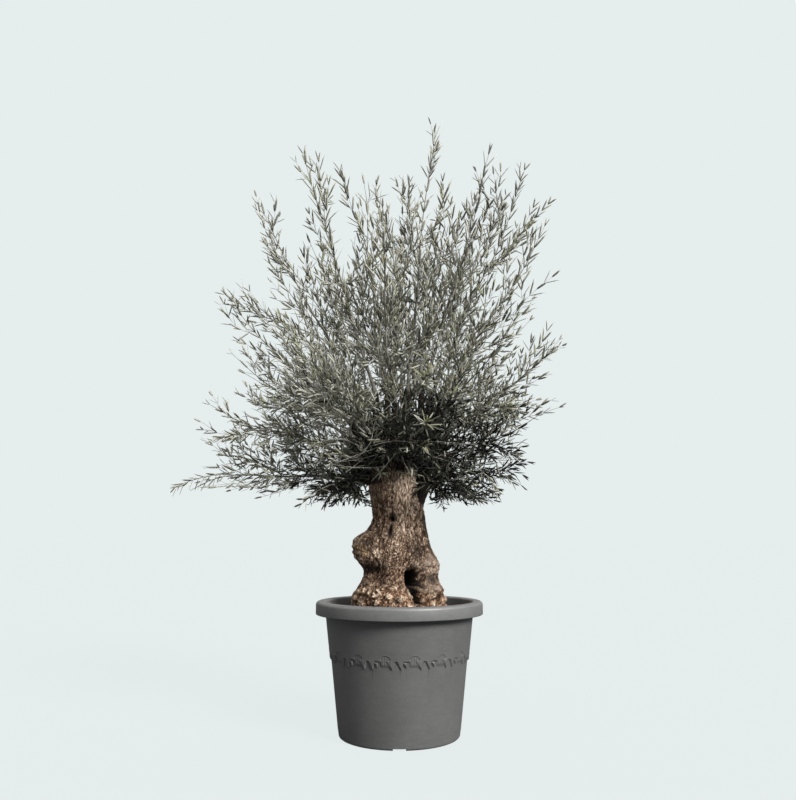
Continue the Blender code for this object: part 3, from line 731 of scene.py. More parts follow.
def build_soil():
    """Crumbly soil from wall to wall, heaped a little against the trunk."""
    radius = inner_radius(SOIL_TOP) - 2 * CLEARANCE
    turns = np.linspace(0.0, math.tau, SOIL_SIDES, endpoint=False)
    foot = FLOOR_THICKNESS + CLEARANCE
    low = inner_radius(foot) - 2 * CLEARANCE
    rows = [round_axis(low, turns, foot)]
    for n in range(SOIL_RINGS):
        r = radius * (1.0 - n / SOIL_RINGS)
        heap = SOIL_HEAP * math.exp(-((max(0.0, r - HEAP_RADIUS) / HEAP_WIDTH) ** 2))
        row = []
        for a in turns:
            x, y = r * math.cos(a), r * math.sin(a)
            crumbs = noise.fractal(Vector((x, y, 0.3)) * CRUMB_SCALE, 0.8, 2.1, 3)
            row.append((x, y, SOIL_TOP - SOIL_DIP + heap + CRUMB_HEIGHT * crumbs))
        rows.append(np.array(row))
    soil = closed_surface("soil_fill", rows, (0, 0, foot), (0, 0, SOIL_TOP), soil_material())
    finish_piece(soil, ["soil"])


# ---------------------------------------------------------------- trunk


def column_radius(z):
    """The plain column's radius, smoothed between its stations."""
    heights = [h for h, _ in TRUNK_COLUMN]
    radii = [r for _, r in TRUNK_COLUMN]
    spread = 0.010
    weights = ((-1, 0.25), (0, 0.5), (1, 0.25))
    return sum(np.interp(z + step * spread, heights, radii) * weight for step, weight in weights)


def trunk_radius(azimuth, z):
    """Radius of the trunk without its bark; azimuth in degrees. Takes numbers or arrays."""
    turn = np.radians(azimuth)
    radius = column_radius(z)
    radius = radius * (1 + FLUTE_DEPTH * np.cos(FLUTES * turn + FLUTE_TWIST * z))
    flare = np.maximum(0.0, 1 - (z - TRUNK_FOOT) / ROOT_LOBE_HEIGHT)
    radius = radius * (1 + ROOT_LOBE_DEPTH * flare * np.cos(ROOT_LOBES * turn + 0.6))
    for _, form_azimuth, form_z, out, spread_z, spread_round in TRUNK_FORMS:
        radius = radius + out * spot(azimuth, z, form_azimuth, form_z, spread_round, spread_z)
    return radius


def spot(azimuth, z, at_azimuth, at_z, spread_round, spread_z, power=2.0):
    """1 at a place on the trunk, falling to 0 round it."""
    turn = ((azimuth - at_azimuth + 180.0) % 360.0 - 180.0) / spread_round
    away = (z - at_z) / spread_z
    return np.exp(-0.5 * np.power(away * away + turn * turn, power / 2))


def spots(azimuth, z, places, power):
    """How much of each place of a table there is, in a list."""
    return [amount * spot(azimuth, z, *where, power) for *where, amount in places]


def fissured(place, shift, width):
    """1 on a plate of bark, falling to 0 in the thin cracks between plates."""
    crack = noise.noise(Vector(place) + Vector((shift, shift * 0.7, shift * 1.3))) / width
    return 1.0 - math.exp(-crack * crack)


def bark_relief(place, stretch):
    """Bark at one place: 0 in a crack to 1 on a plate. Plates are this much longer than wide."""
    x, y, z = place
    bend = noise.noise(Vector((x * 14.0, y * 14.0, z * 7.0))) * 0.9
    upright = (x + 0.004 * bend, y - 0.004 * bend, z / stretch)
    wide = fissured([c * 52.0 for c in upright], 3.1, 0.16)
    narrow = fissured([c * 150.0 for c in upright], 11.7, 0.22)
    grit = noise.noise(Vector(upright) * 260.0)
    return min(1.0, max(0.0, 0.10 + 0.36 * wide + 0.42 * narrow + 0.26 * grit))


def crust_relief(place, scale):
    """Crowded knobs, each a ring round a small pit: 1 on the rings, 0 in the pits and between the knobs."""
    distances, points = noise.voronoi(Vector(place) * scale)
    ring = math.exp(-(((distances[0] - 0.34) / 0.17) ** 2))
    dome = max(0.0, 1.0 - distances[0] / 0.75)
    pitted = noise.noise(points[0] * 3.7) > 0.1
    between = min(1.0, (distances[1] - distances[0]) * 3.0)
    return (ring if pitted else dome) * between


# Colours of the kinds of bark along its relief
BARK_RAMP = (
    (0.10, (0.010, 0.006, 0.004)),
    (0.36, (0.055, 0.033, 0.021)),
    (0.62, (0.170, 0.124, 0.090)),
    (0.92, (0.400, 0.325, 0.262)),
)
RED_RAMP = (
    (0.10, (0.010, 0.005, 0.003)),
    (0.36, (0.052, 0.027, 0.017)),
    (0.62, (0.155, 0.098, 0.066)),
    (0.92, (0.320, 0.228, 0.168)),
)
CRUST_RAMP = (
    (0.12, (0.022, 0.011, 0.007)),
    (0.30, (0.130, 0.077, 0.047)),
    (0.54, (0.320, 0.248, 0.186)),
    (0.84, (0.510, 0.432, 0.358)),
)
BURL_RAMP = ((0.10, (0.034, 0.025, 0.020)), (0.70, (0.185, 0.148, 0.127)))
# Ochre along the grit, and flecks that darken or lighten the bark under them
OCHRE_RAMP = ((0.35, (0.210, 0.130, 0.060)), (0.65, (0.520, 0.380, 0.215)))
FLECK_RAMP = ((0.38, (0.24, 0.20, 0.18)), (0.50, (0.84, 0.81, 0.79)), (0.62, (2.25, 2.22, 2.18)))
BARK_DEPTH, CRUST_DEPTH, KNOB_DEPTH, BURL_DEPTH = 0.0045, 0.0115, 0.0036, 0.0080
CRUST_TOP = 0.508
HOLLOW_DEPTH, SLOT_DEPTH, SEAM_DEPTH, FORK_DEPTH, KNOT_DEPTH = 0.050, 0.024, 0.005, 0.030, 0.014
# Azimuth, height, how far it stands out, its spread round and up, how smooth and grey-pink it is
LUMPS = (
    (329, 0.613, 0.010, 5, 0.009, 0.8),
    (320, 0.590, 0.011, 5, 0.009, 0.8),
    (336, 0.589, 0.010, 5, 0.011, 0.7),
    (329, 0.565, 0.008, 5, 0.008, 0.6),
    (352, 0.895, 0.015, 24, 0.050, 0.0),
    (301, 0.587, 0.011, 4, 0.008, 0.5),
    (310, 0.603, 0.006, 5, 0.008, 0.2),
    (311, 0.545, 0.024, 6, 0.024, 0.1),
    (316, 0.506, 0.014, 12, 0.014, 0.5),
    (323, 0.541, 0.008, 5, 0.009, 0.3),
    (188, 0.684, 0.013, 14, 0.012, 0.0),
    (284, 0.466, 0.013, 5, 0.022, 0.0),
    (287, 0.492, 0.008, 3, 0.007, 0.6),
    (291, 0.452, 0.007, 3, 0.006, 0.6),
    (306, 0.462, 0.012, 5, 0.022, 0.0),
    (20, 0.560, 0.010, 14, 0.020, 0.7),
    (120, 0.530, 0.012, 14, 0.022, 0.7),
)
# The tables of places below have azimuth, height, spread round and up, and how much.
# Places painted darker as shade: under the burls, round the hollow, between the base lumps and on the second
# limb under the crown
DARK_PLACES = (
    (305, 0.640, 14, 0.034, 0.62),
    (350, 0.745, 20, 0.060, 0.84),
    (352, 0.850, 20, 0.070, 0.96),
    (217, 0.668, 8, 0.014, 0.52),
    (213, 0.572, 19, 0.015, 0.70),
    (246, 0.545, 34, 0.016, 0.30),
    (324, 0.540, 11, 0.014, 0.85),
    (339, 0.545, 5, 0.010, 0.70),
    (313, 0.572, 4, 0.006, 0.70),
    (219, 0.479, 6, 0.013, 0.66),
    (268, 0.474, 6, 0.010, 0.66),
    (345, 0.655, 14, 0.035, 0.62),
    (70, 0.545, 20, 0.016, 0.60),
    (140, 0.600, 14, 0.030, 0.50),
    (110, 0.480, 7, 0.012, 0.60),
    (30, 0.475, 7, 0.012, 0.60),
    (170, 0.478, 7, 0.012, 0.55),
)
PALE_PLACES = (
    (226, 0.626, 9, 0.010, 0.55),
    (191, 0.672, 13, 0.014, 0.55),
    (301, 0.586, 5, 0.008, 0.75),
    (240, 0.487, 9, 0.014, 0.40),
    (284, 0.484, 5, 0.012, 0.30),
)
# Burls covered in knobs
KNOBBLY_PLACES = (
    (190, 0.630, 34, 0.052, 0.8),
    (80, 0.600, 30, 0.060, 0.7),
    (320, 0.640, 16, 0.030, 0.5),
    (328, 0.585, 16, 0.028, 0.8),
)
OCHRE_PLACES = (
    (213, 0.631, 5, 0.007, 0.65),
    (205, 0.650, 6, 0.006, 0.40),
)
RED_PLACES = (
    (222, 0.840, 30, 0.100, 0.75),
    (246, 0.545, 44, 0.026, 0.80),
    (100, 0.800, 50, 0.100, 0.60),
)
CRUST_REDNESS = 0.35
# First and last azimuth, low and high end, and the soft edges round and up
HOLLOW = (283.0, 301.3, 0.517, 0.566, 4.0, 0.008)
# Azimuth, height, spread round and up, and power
KNOT = (251.0, 0.750, 5.0, 0.0080, 2.2)
GASH = (249.5, 0.707, 4.6, 0.021, 3.0)
# The pale strip of straight bark on the front: heights and the azimuths of its middle
STRIP_HEIGHTS, STRIP_AZIMUTHS, STRIP_SPREAD = (0.56, 0.604, 0.694, 0.850), (250, 259, 271, 279), 15.0
# Where the second limb parts from the trunk: heights and azimuths, and how far past 0 degrees it goes on
# the limb past this line is painted near black, as the crown's shadow on it
FORK_HEIGHTS, FORK_AZIMUTHS, FORK_END = (0.770, 0.834, 0.887, 0.960), (341, 321, 315, 314), 40.0
# Left edge of the slot under the hollow: heights and azimuths
SLOT_HEIGHTS, SLOT_AZIMUTHS = (0.440, 0.475, 0.515), (296.5, 292.5, 283.5)


def edge(distance, soft):
    """0 outside an outline and 1 inside it; distance is how far inside."""
    return np.clip(distance / soft + 0.5, 0, 1)


def block(azimuth, z, first, last, low, high, soft_round, soft_up):
    """1 between two azimuths and two heights, 0 outside."""
    across = edge(azimuth - first, soft_round) * edge(last - azimuth, soft_round)
    return across * edge(z - low, soft_up) * edge(high - z, soft_up)


def slot_edge(z):
    """Azimuth of the slot's left edge, broken by the crusts beside it."""
    straight = np.interp(z, SLOT_HEIGHTS, SLOT_AZIMUTHS)
    return straight + 1.6 * np.sin(z * 265.0) + 1.1 * np.sin(z * 610.0 + 1.0)


def trunk_hollows(azimuth, z):
    """The hollow and its slot, the seam with its knot and gash, and the second limb beside its gap;
    build_trunk cuts them in and paints them dark as shade.
    """
    hollow = block(azimuth, z, *HOLLOW)
    slot = block(azimuth, z, slot_edge(z) + 1.5, 299.5, 0.400, 0.522, 3.0, 0.008)
    seam_azimuth = 250.0 + np.clip(z - 0.70, 0.0, 0.2) * 42.0
    seam = spot(azimuth, z, seam_azimuth, 0.815, 1.9, 0.065, 3.0) * (0.6 + 0.4 * np.sin(z * 330.0))
    knot, gash = spot(azimuth, z, *KNOT), spot(azimuth, z, *GASH)
    turned = (azimuth - FORK_END) % 360.0 + FORK_END
    fork = edge(turned - np.interp(z, FORK_HEIGHTS, FORK_AZIMUTHS), 3.0)
    fork = fork * edge(360.0 + FORK_END - turned, 16.0) * edge(z - 0.775, 0.030)
    return hollow, slot, seam, knot, gash, fork


def hollow_darkness(azimuth, z):
    """The black of painted shade in the hollow and in its slot, with a ragged outline."""
    ragged = 1.7 * np.sin(z * 310.0 + azimuth * 0.35) + 1.2 * np.sin(z * 170.0 - azimuth * 0.6 + 2.0)
    ragged = ragged + 0.8 * np.sin(z * 700.0 + azimuth * 0.9)
    ragged_up = 0.0022 * np.sin(azimuth * 0.55) + 0.0014 * np.sin(azimuth * 1.37 + z * 90.0)
    sides, ends = (281.0 + ragged, 305.5 + 0.8 * ragged), (0.512 + ragged_up, 0.5695 + ragged_up)
    hollow = block(azimuth, z, *sides, *ends, 2.0, 0.005)
    slot = block(azimuth, z, slot_edge(z) + 0.6 * ragged, 300.0 + 0.6 * ragged, 0.400, 0.524, 2.5, 0.006)
    return np.maximum(hollow, slot)


def bark_at(place, stretch, crusty, sleek, knobbly):
    """How far the bark stands out at one place, and its relief as the material reads it."""
    bark = bark_relief(place, stretch)
    height = BARK_DEPTH * (1.0 - 0.8 * sleek) * (bark - 0.5)
    relief = bark * (1 - 0.5 * sleek) + 0.40 * sleek
    if knobbly > 0.05:
        knob = crust_relief(place, 34.0)
        height += knobbly * BURL_DEPTH * (knob - 0.35)
        relief = relief * (1 - 0.25 * knobbly) + 0.25 * knobbly * (0.55 + 0.8 * knob) * (0.7 + 0.5 * bark)
    if crusty > 0.02:
        big = crust_relief(place, 27.0)
        small = crust_relief(place, 78.0)
        height += crusty * (CRUST_DEPTH * (big - 0.40) + KNOB_DEPTH * (small - 0.4))
        crumbly = 0.56 * big + 0.26 * small + 0.28 * bark
        relief = relief * (1 - crusty) + crusty * crumbly
    return height, relief


def build_trunk(material):
    """The trunk from its flat cut to its head, with burls, hollows, root crusts and fissured bark."""
    top = TRUNK_COLUMN[-1][0] - 0.002
    heights = np.linspace(TRUNK_FOOT, top, TRUNK_RINGS)
    azimuths = np.linspace(0.0, 360.0, TRUNK_SIDES, endpoint=False)
    azimuth, z = np.meshgrid(azimuths, heights)
    radius = trunk_radius(azimuth, z)
    hollow, slot, seam, knot, gash, fork = trunk_hollows(azimuth, z)
    radius = radius - HOLLOW_DEPTH * hollow - SLOT_DEPTH * slot
    radius = radius - SEAM_DEPTH * seam - KNOT_DEPTH * (knot + 0.8 * gash) - FORK_DEPTH * fork * 0.4
    smooth = np.zeros_like(radius)
    for at, height, out, spread, rise, sleek in LUMPS:
        growth = spot(azimuth, z, at, height, spread, rise, 2.6)
        radius = radius + out * growth
        smooth = np.maximum(smooth, sleek * np.clip(1.5 * growth, 0, 1))
    wave = 0.010 * np.cos(np.radians(azimuth * 3)) + 0.006 * np.cos(np.radians(azimuth * 7 + 40))
    wave = wave + 0.004 * np.cos(np.radians(azimuth * 17))
    crust = 1.0 / (1.0 + np.exp((z - CRUST_TOP - wave) / 0.006))
    smooth = smooth * (1 - 0.6 * crust)
    knobs = np.clip(sum(spots(azimuth, z, KNOBBLY_PLACES, 4.0)), 0, 1)
    away = (azimuth - np.interp(z, STRIP_HEIGHTS, STRIP_AZIMUTHS)) / STRIP_SPREAD
    strip = np.exp(-(away**4)) * edge(z - 0.620, 0.10)
    turn = np.radians(azimuth)
    relief = np.zeros_like(radius)
    out = np.zeros_like(radius)
    for at in np.ndindex(radius.shape):
        place = (radius[at] * math.cos(turn[at]), radius[at] * math.sin(turn[at]), z[at])
        out[at], relief[at] = bark_at(place, 1.7 + 2.3 * strip[at], crust[at], smooth[at], knobs[at])
    radius = radius + out
    # painted shade: black in the hollow and its slot, dark in the knot, seam and gash, near black on the
    # second limb in the crown's shadow
    dark = hollow_darkness(azimuth, z) + 0.95 * knot + 0.60 * seam + 0.92 * gash + 0.98 * fork
    mottled = 0.75 + 0.5 * relief
    # the dark places are painted shade
    painted_shade_spots = [np.clip(mottled * amount, 0, 0.9) for amount in spots(azimuth, z, DARK_PLACES, 3.0)]
    shade = np.maximum.reduce([np.clip(dark, 0, 0.99), *painted_shade_spots])
    # the strip is paler bark; the trunk's top under the crown is painted paler, as painted light
    relief = relief + 0.12 * strip + 0.36 * edge(z - 0.79, 0.14)
    relief = relief - 0.07 * spot(azimuth, z, 285.0, 0.640, 40.0, 0.050, 4.0)
    relief = np.clip(relief + 0.5 * sum(spots(azimuth, z, PALE_PLACES, 3.0)), 0, 1)
    ochre = sum(spots(azimuth, z, OCHRE_PLACES, 3.0))
    front_red, *other_reds = spots(azimuth, z, RED_PLACES, 4.0)
    redness = np.maximum.reduce([np.clip(front_red + CRUST_REDNESS * crust, 0, 1), *other_reds])
    rows = round_axis(radius, turn, z)
    trunk = closed_surface("trunk_bark", rows, (0, 0, TRUNK_FOOT), (0, 0, top + 0.014), material)
    store_colour(trunk, "bark", relief, crust, smooth)
    store_colour(trunk, "tint", shade, ochre, redness)
    finish_piece(trunk, ["trunk"])


# ---------------------------------------------------------------- the growth rule


def heading(azimuth, elevation):
    """The way at an azimuth and an elevation in degrees."""
    a, e = math.radians(azimuth), math.radians(elevation)
    return Vector((math.cos(a) * math.cos(e), math.sin(a) * math.cos(e), math.sin(e)))


def perch_heading(azimuth, elevation):
    """The way in which a bough leaves the head of the trunk; those of steep masses spread further apart."""
    polar = 90.0 - elevation
    if polar <= POLE_EDGE:
        spread = polar * POLE_SPREAD
    else:
        spread = POLE_EDGE * POLE_SPREAD + (polar - POLE_EDGE) * SIDE_SPREAD
    return heading(azimuth, 90.0 - spread)


def bezier(handles, count):
    a, b, c, d = handles
    line = []
    for n in range(count):
        t = n / (count - 1)
        s = 1 - t
        line.append(a * s**3 + b * 3 * s * s * t + c * 3 * s * t * t + d * t**3)
    return line


def limb_of(name, azimuth, elevation, reach):
    """Handles of the bough and of the leader of one mass."""
    way = heading(azimuth, elevation)
    perch = perch_heading(azimuth, elevation)
    start = HUB + perch * (STUB_REACH + CLEARANCE)
    length = min(max(reach * BOUGH_SHARE, BOUGH_LEAST), BOUGH_MOST)
    end = HUB + way * length
    root, tip = end + way * CLEARANCE, HUB + way * (reach - TIP_LEAF)
    run = tip - root
    bend = (SKIRT_DROOP if elevation < 0 else WHIP_ARCH) * run.length * math.cos(math.radians(elevation))
    sag = Vector((0, 0, -bend))
    bough = (start, start + perch * BOUGH_EASE, end - way * BOUGH_EASE, end)
    leader = (root, root + run * 0.33, root + run * 0.68 + sag * 1.6, tip)
    return {
        "name": name,
        "way": way,
        "perch": perch,
        "reach": reach,
        "radius": BOUGH_RADIUS + BOUGH_RADIUS_BY_REACH * reach,
        "bough": bough,
        "leader": leader,
    }


def segments_of(limb):
    leader = bezier(limb["leader"], COARSE_LEADER)
    line = [limb["bough"][0], limb["bough"][-1], *leader[1::2]]
    return [(tuple(a), tuple(b)) for a, b in zip(line, line[1:])]


class Cell:
    """The space of one mass: nearer to its own bough and leader than to any other's, off the trunk."""

    def __init__(self, limbs, own):
        self.own = self.ends(segments_of(limbs[own]))
        self.others = self.ends([s for n, limb in enumerate(limbs) if n != own for s in segments_of(limb)])

    @staticmethod
    def ends(segments):
        starts = np.array([a for a, _ in segments])
        along = np.array([b for _, b in segments]) - starts
        return starts, along, (along * along).sum(1)

    @staticmethod
    def distance(points, ends):
        starts, along, squared = ends
        points = points.reshape(-1, 1, 3)
        share = np.clip(((points - starts) * along).sum(2) / squared, 0, 1)
        nearest = starts + share[..., None] * along
        return np.sqrt(((points - nearest) ** 2).sum(2)).min(1)

    def holds(self, points, margin):
        points = np.array([tuple(p) for p in points])
        if points[:, 2].min() < CROWN_FLOOR:
            return False
        gained = self.distance(points, self.others) - self.distance(points, self.own)
        return bool((gained > margin).all()) and all(clear_of_trunk(p) for p in points)


def clear_of_trunk(point):
    """Whether a point keeps its distance from the trunk and from its head."""
    x, y, z = point
    if z > HUB.z:
        return (Vector(point) - HUB).length > STUB_REACH + TRUNK_MARGIN
    azimuth = math.degrees(math.atan2(y, x))
    return math.hypot(x, y) > float(trunk_radius(azimuth, max(z, TRUNK_FOOT))) + TRUNK_MARGIN


def outward_of(ahead, turn):
    """A way at a right angle to another, turned round it."""
    across = ahead.orthogonal().normalized()
    return across * math.cos(turn) + ahead.cross(across) * math.sin(turn)


def side_handles(limb, cell, draw):
    """Handles of the side whips of one mass, by the same draws as the solids'."""
    found = []
    leader = bezier(limb["leader"], COARSE_LEADER)
    turn = draw.uniform(0, math.tau)
    first = SIDE_FIRST / line_length(leader)
    for n in range(SIDE_WHIPS):
        start = along_line(leader, first + (SIDE_LAST - first) * n / (SIDE_WHIPS - 1))
        outward = outward_of(limb["way"], turn)
        far = (limb["reach"] - TIP_LEAF) * draw.uniform(*SIDE_REACH)
        opening = SIDE_OPENING * draw.uniform(0.8, 1.25)
        turn += GOLDEN_ANGLE
        for _ in range(SIDE_TRIES):
            way = limb["way"] * math.cos(math.radians(opening)) + outward * math.sin(math.radians(opening))
            tip = HUB + way * far
            run = (tip - start).length
            handles = (start, start + limb["way"] * run * 0.25, tip - way * run * 0.3, tip)
            if cell.holds(bezier(handles, COARSE_SIDE)[1:], WHIP_MARGIN):
                found.append(handles)
                break
            opening *= SIDE_SHRINK
    return found


def along_line(line, share):
    place = min(max(share, 0.0), 1.0) * (len(line) - 1)
    index = min(int(place), len(line) - 2)
    return line[index].lerp(line[index + 1], place - index)


def smoothed(places, steps):
    """A curve through the places, with this many points for each stretch."""
    line = []
    for n in range(len(places) - 1):
        before, here = places[max(n - 1, 0)], places[n]
        after, beyond = places[n + 1], places[min(n + 2, len(places) - 1)]
        for step in range(steps):
            t = step / steps
            bend = (after - before) * t + (before * 2 - here * 5 + after * 4 - beyond) * t * t
            line.append(here + (bend + (here * 3 - before - after * 3 + beyond) * t**3) * 0.5)
    return [*line, places[-1]]


def line_length(line):
    return sum((b - a).length for a, b in zip(line, line[1:]))


def wandering(line, draw):
    """The same line, straying in long bends and in short ones between its ends."""
    shift = Vector((draw.uniform(-50, 50), draw.uniform(-50, 50), draw.uniform(-50, 50)))
    strayed = []
    for n, place in enumerate(line):
        share = n / (len(line) - 1)
        hold = min(1.0, 3.0 * share) * (1.0 - 0.65 * share * share)
        for most, tightness in (WANDER, WANDER_SHORT):
            place = place + noise.noise_vector(place * tightness + shift) * most * hold
        strayed.append(place)
    return strayed


# ---------------------------------------------------------------- limbs as tubes


class Tubes:
    """Gathers tapering tubes with round tips, to be joined in one piece."""

    def __init__(self):
        self.points = []
        self.quads = []
        self.triangles = []
        self.count = 0

    def add(self, line, radii, sides):
        points = np.array([tuple(p) for p in line])
        ahead = np.gradient(points, axis=0)
        ahead /= np.linalg.norm(ahead, axis=1)[:, None]
        across = np.array(Vector(ahead[0]).orthogonal().normalized())
        turns = np.linspace(0.0, math.tau, sides, endpoint=False)
        rings = []
        for place, way, radius in zip(points, ahead, radii):
            across = across - way * across.dot(way)
            across /= np.linalg.norm(across)
            over = np.cross(way, across)
            rings.append(place + radius * (np.outer(np.cos(turns), across) + np.outer(np.sin(turns), over)))
        tip = points[-1] + ahead[-1] * radii[-1]
        tail = points[0] - ahead[0] * radii[0] * 0.5
        start = self.count
        self.points.append(np.concatenate([*rings, [tip], [tail]]))
        total = len(rings) * sides
        self.quads.append(grid_faces(len(rings), sides) + start)
        self.triangles.append(cap_faces(start + total - sides, sides, start + total, False))
        self.triangles.append(cap_faces(start, sides, start + total + 1, True))
        self.count += total + 2

    def piece(self, name, material):
        points = np.concatenate(self.points)
        faces = [np.concatenate(self.quads), np.concatenate(self.triangles)]
        return object_from(name, points, faces, [material])


def tapered(count, root, tip, fall=1.0):
    """Radii from root to tip; with a fall under 1 they get thin early."""
    return [root + (tip - root) * (n / (count - 1)) ** fall for n in range(count)]


def build_boughs(limbs, material):
    """All boughs, from inside the trunk's head to where they enter their masses, with ridged bark painted
    dark as shade.
    """
    tubes = Tubes()
    for limb in limbs:
        root = HUB + limb["perch"] * BOUGH_ROOT
        line = [root, *bezier(limb["bough"], BOUGH_RINGS)]
        radius = limb["radius"]
        radii = [radius * 1.5, *tapered(BOUGH_RINGS, radius * 1.05, radius * BOUGH_TAPER)]
        tubes.add(line, radii, BOUGH_SIDES)
    boughs = tubes.piece("bough_bark", material)
    places = np.array([v.co for v in boughs.data.vertices])
    relief = np.array([bark_relief(p * 1.5, 3.0) for p in places])
    normals = np.array([v.normal for v in boughs.data.vertices])
    places = places + normals * (0.0022 * (relief - 0.5))[:, None]
    boughs.data.vertices.foreach_set("co", places.astype(np.float32).ravel())
    none = np.zeros(len(relief))
    store_colour(boughs, "bark", relief * 0.8, none, none)
    # the boughs' bark is painted dark as shade under the crown
    store_colour(boughs, "tint", none + 0.86, none, none)
    finish_piece(boughs, BOUGH_NODES)


# ---------------------------------------------------------------- shoots and leaves


def between(pair, openness):
    """From the heart's value to the open growth's."""
    return pair[0] + (pair[1] - pair[0]) * openness


def openness_at(place):
    """0 in the heart of the crown, 1 in its open outer growth."""
    return ease(((place - HUB).length - HEART_REACH) / (OPEN_REACH - HEART_REACH))


def leaf_length_at(place):
    outer = float(np.interp(place.z, OUTER_LEAF_HEIGHTS, OUTER_LEAF))
    return between((HEART_LEAF, outer), openness_at(place))


def shade_at(place):
    """1 in the painted shade under the crown round the trunk's head, 0 out in the light."""
    away = [math.hypot(*((place[k] - middle[k]) / size[k] for k in range(3))) for middle, size in SHADES]
    return ease((SHADE_REACH - min(away)) / SHADE_FADE)


def direction_at(line, share):
    return (along_line(line, share + 0.03) - along_line(line, share - 0.03)).normalized()


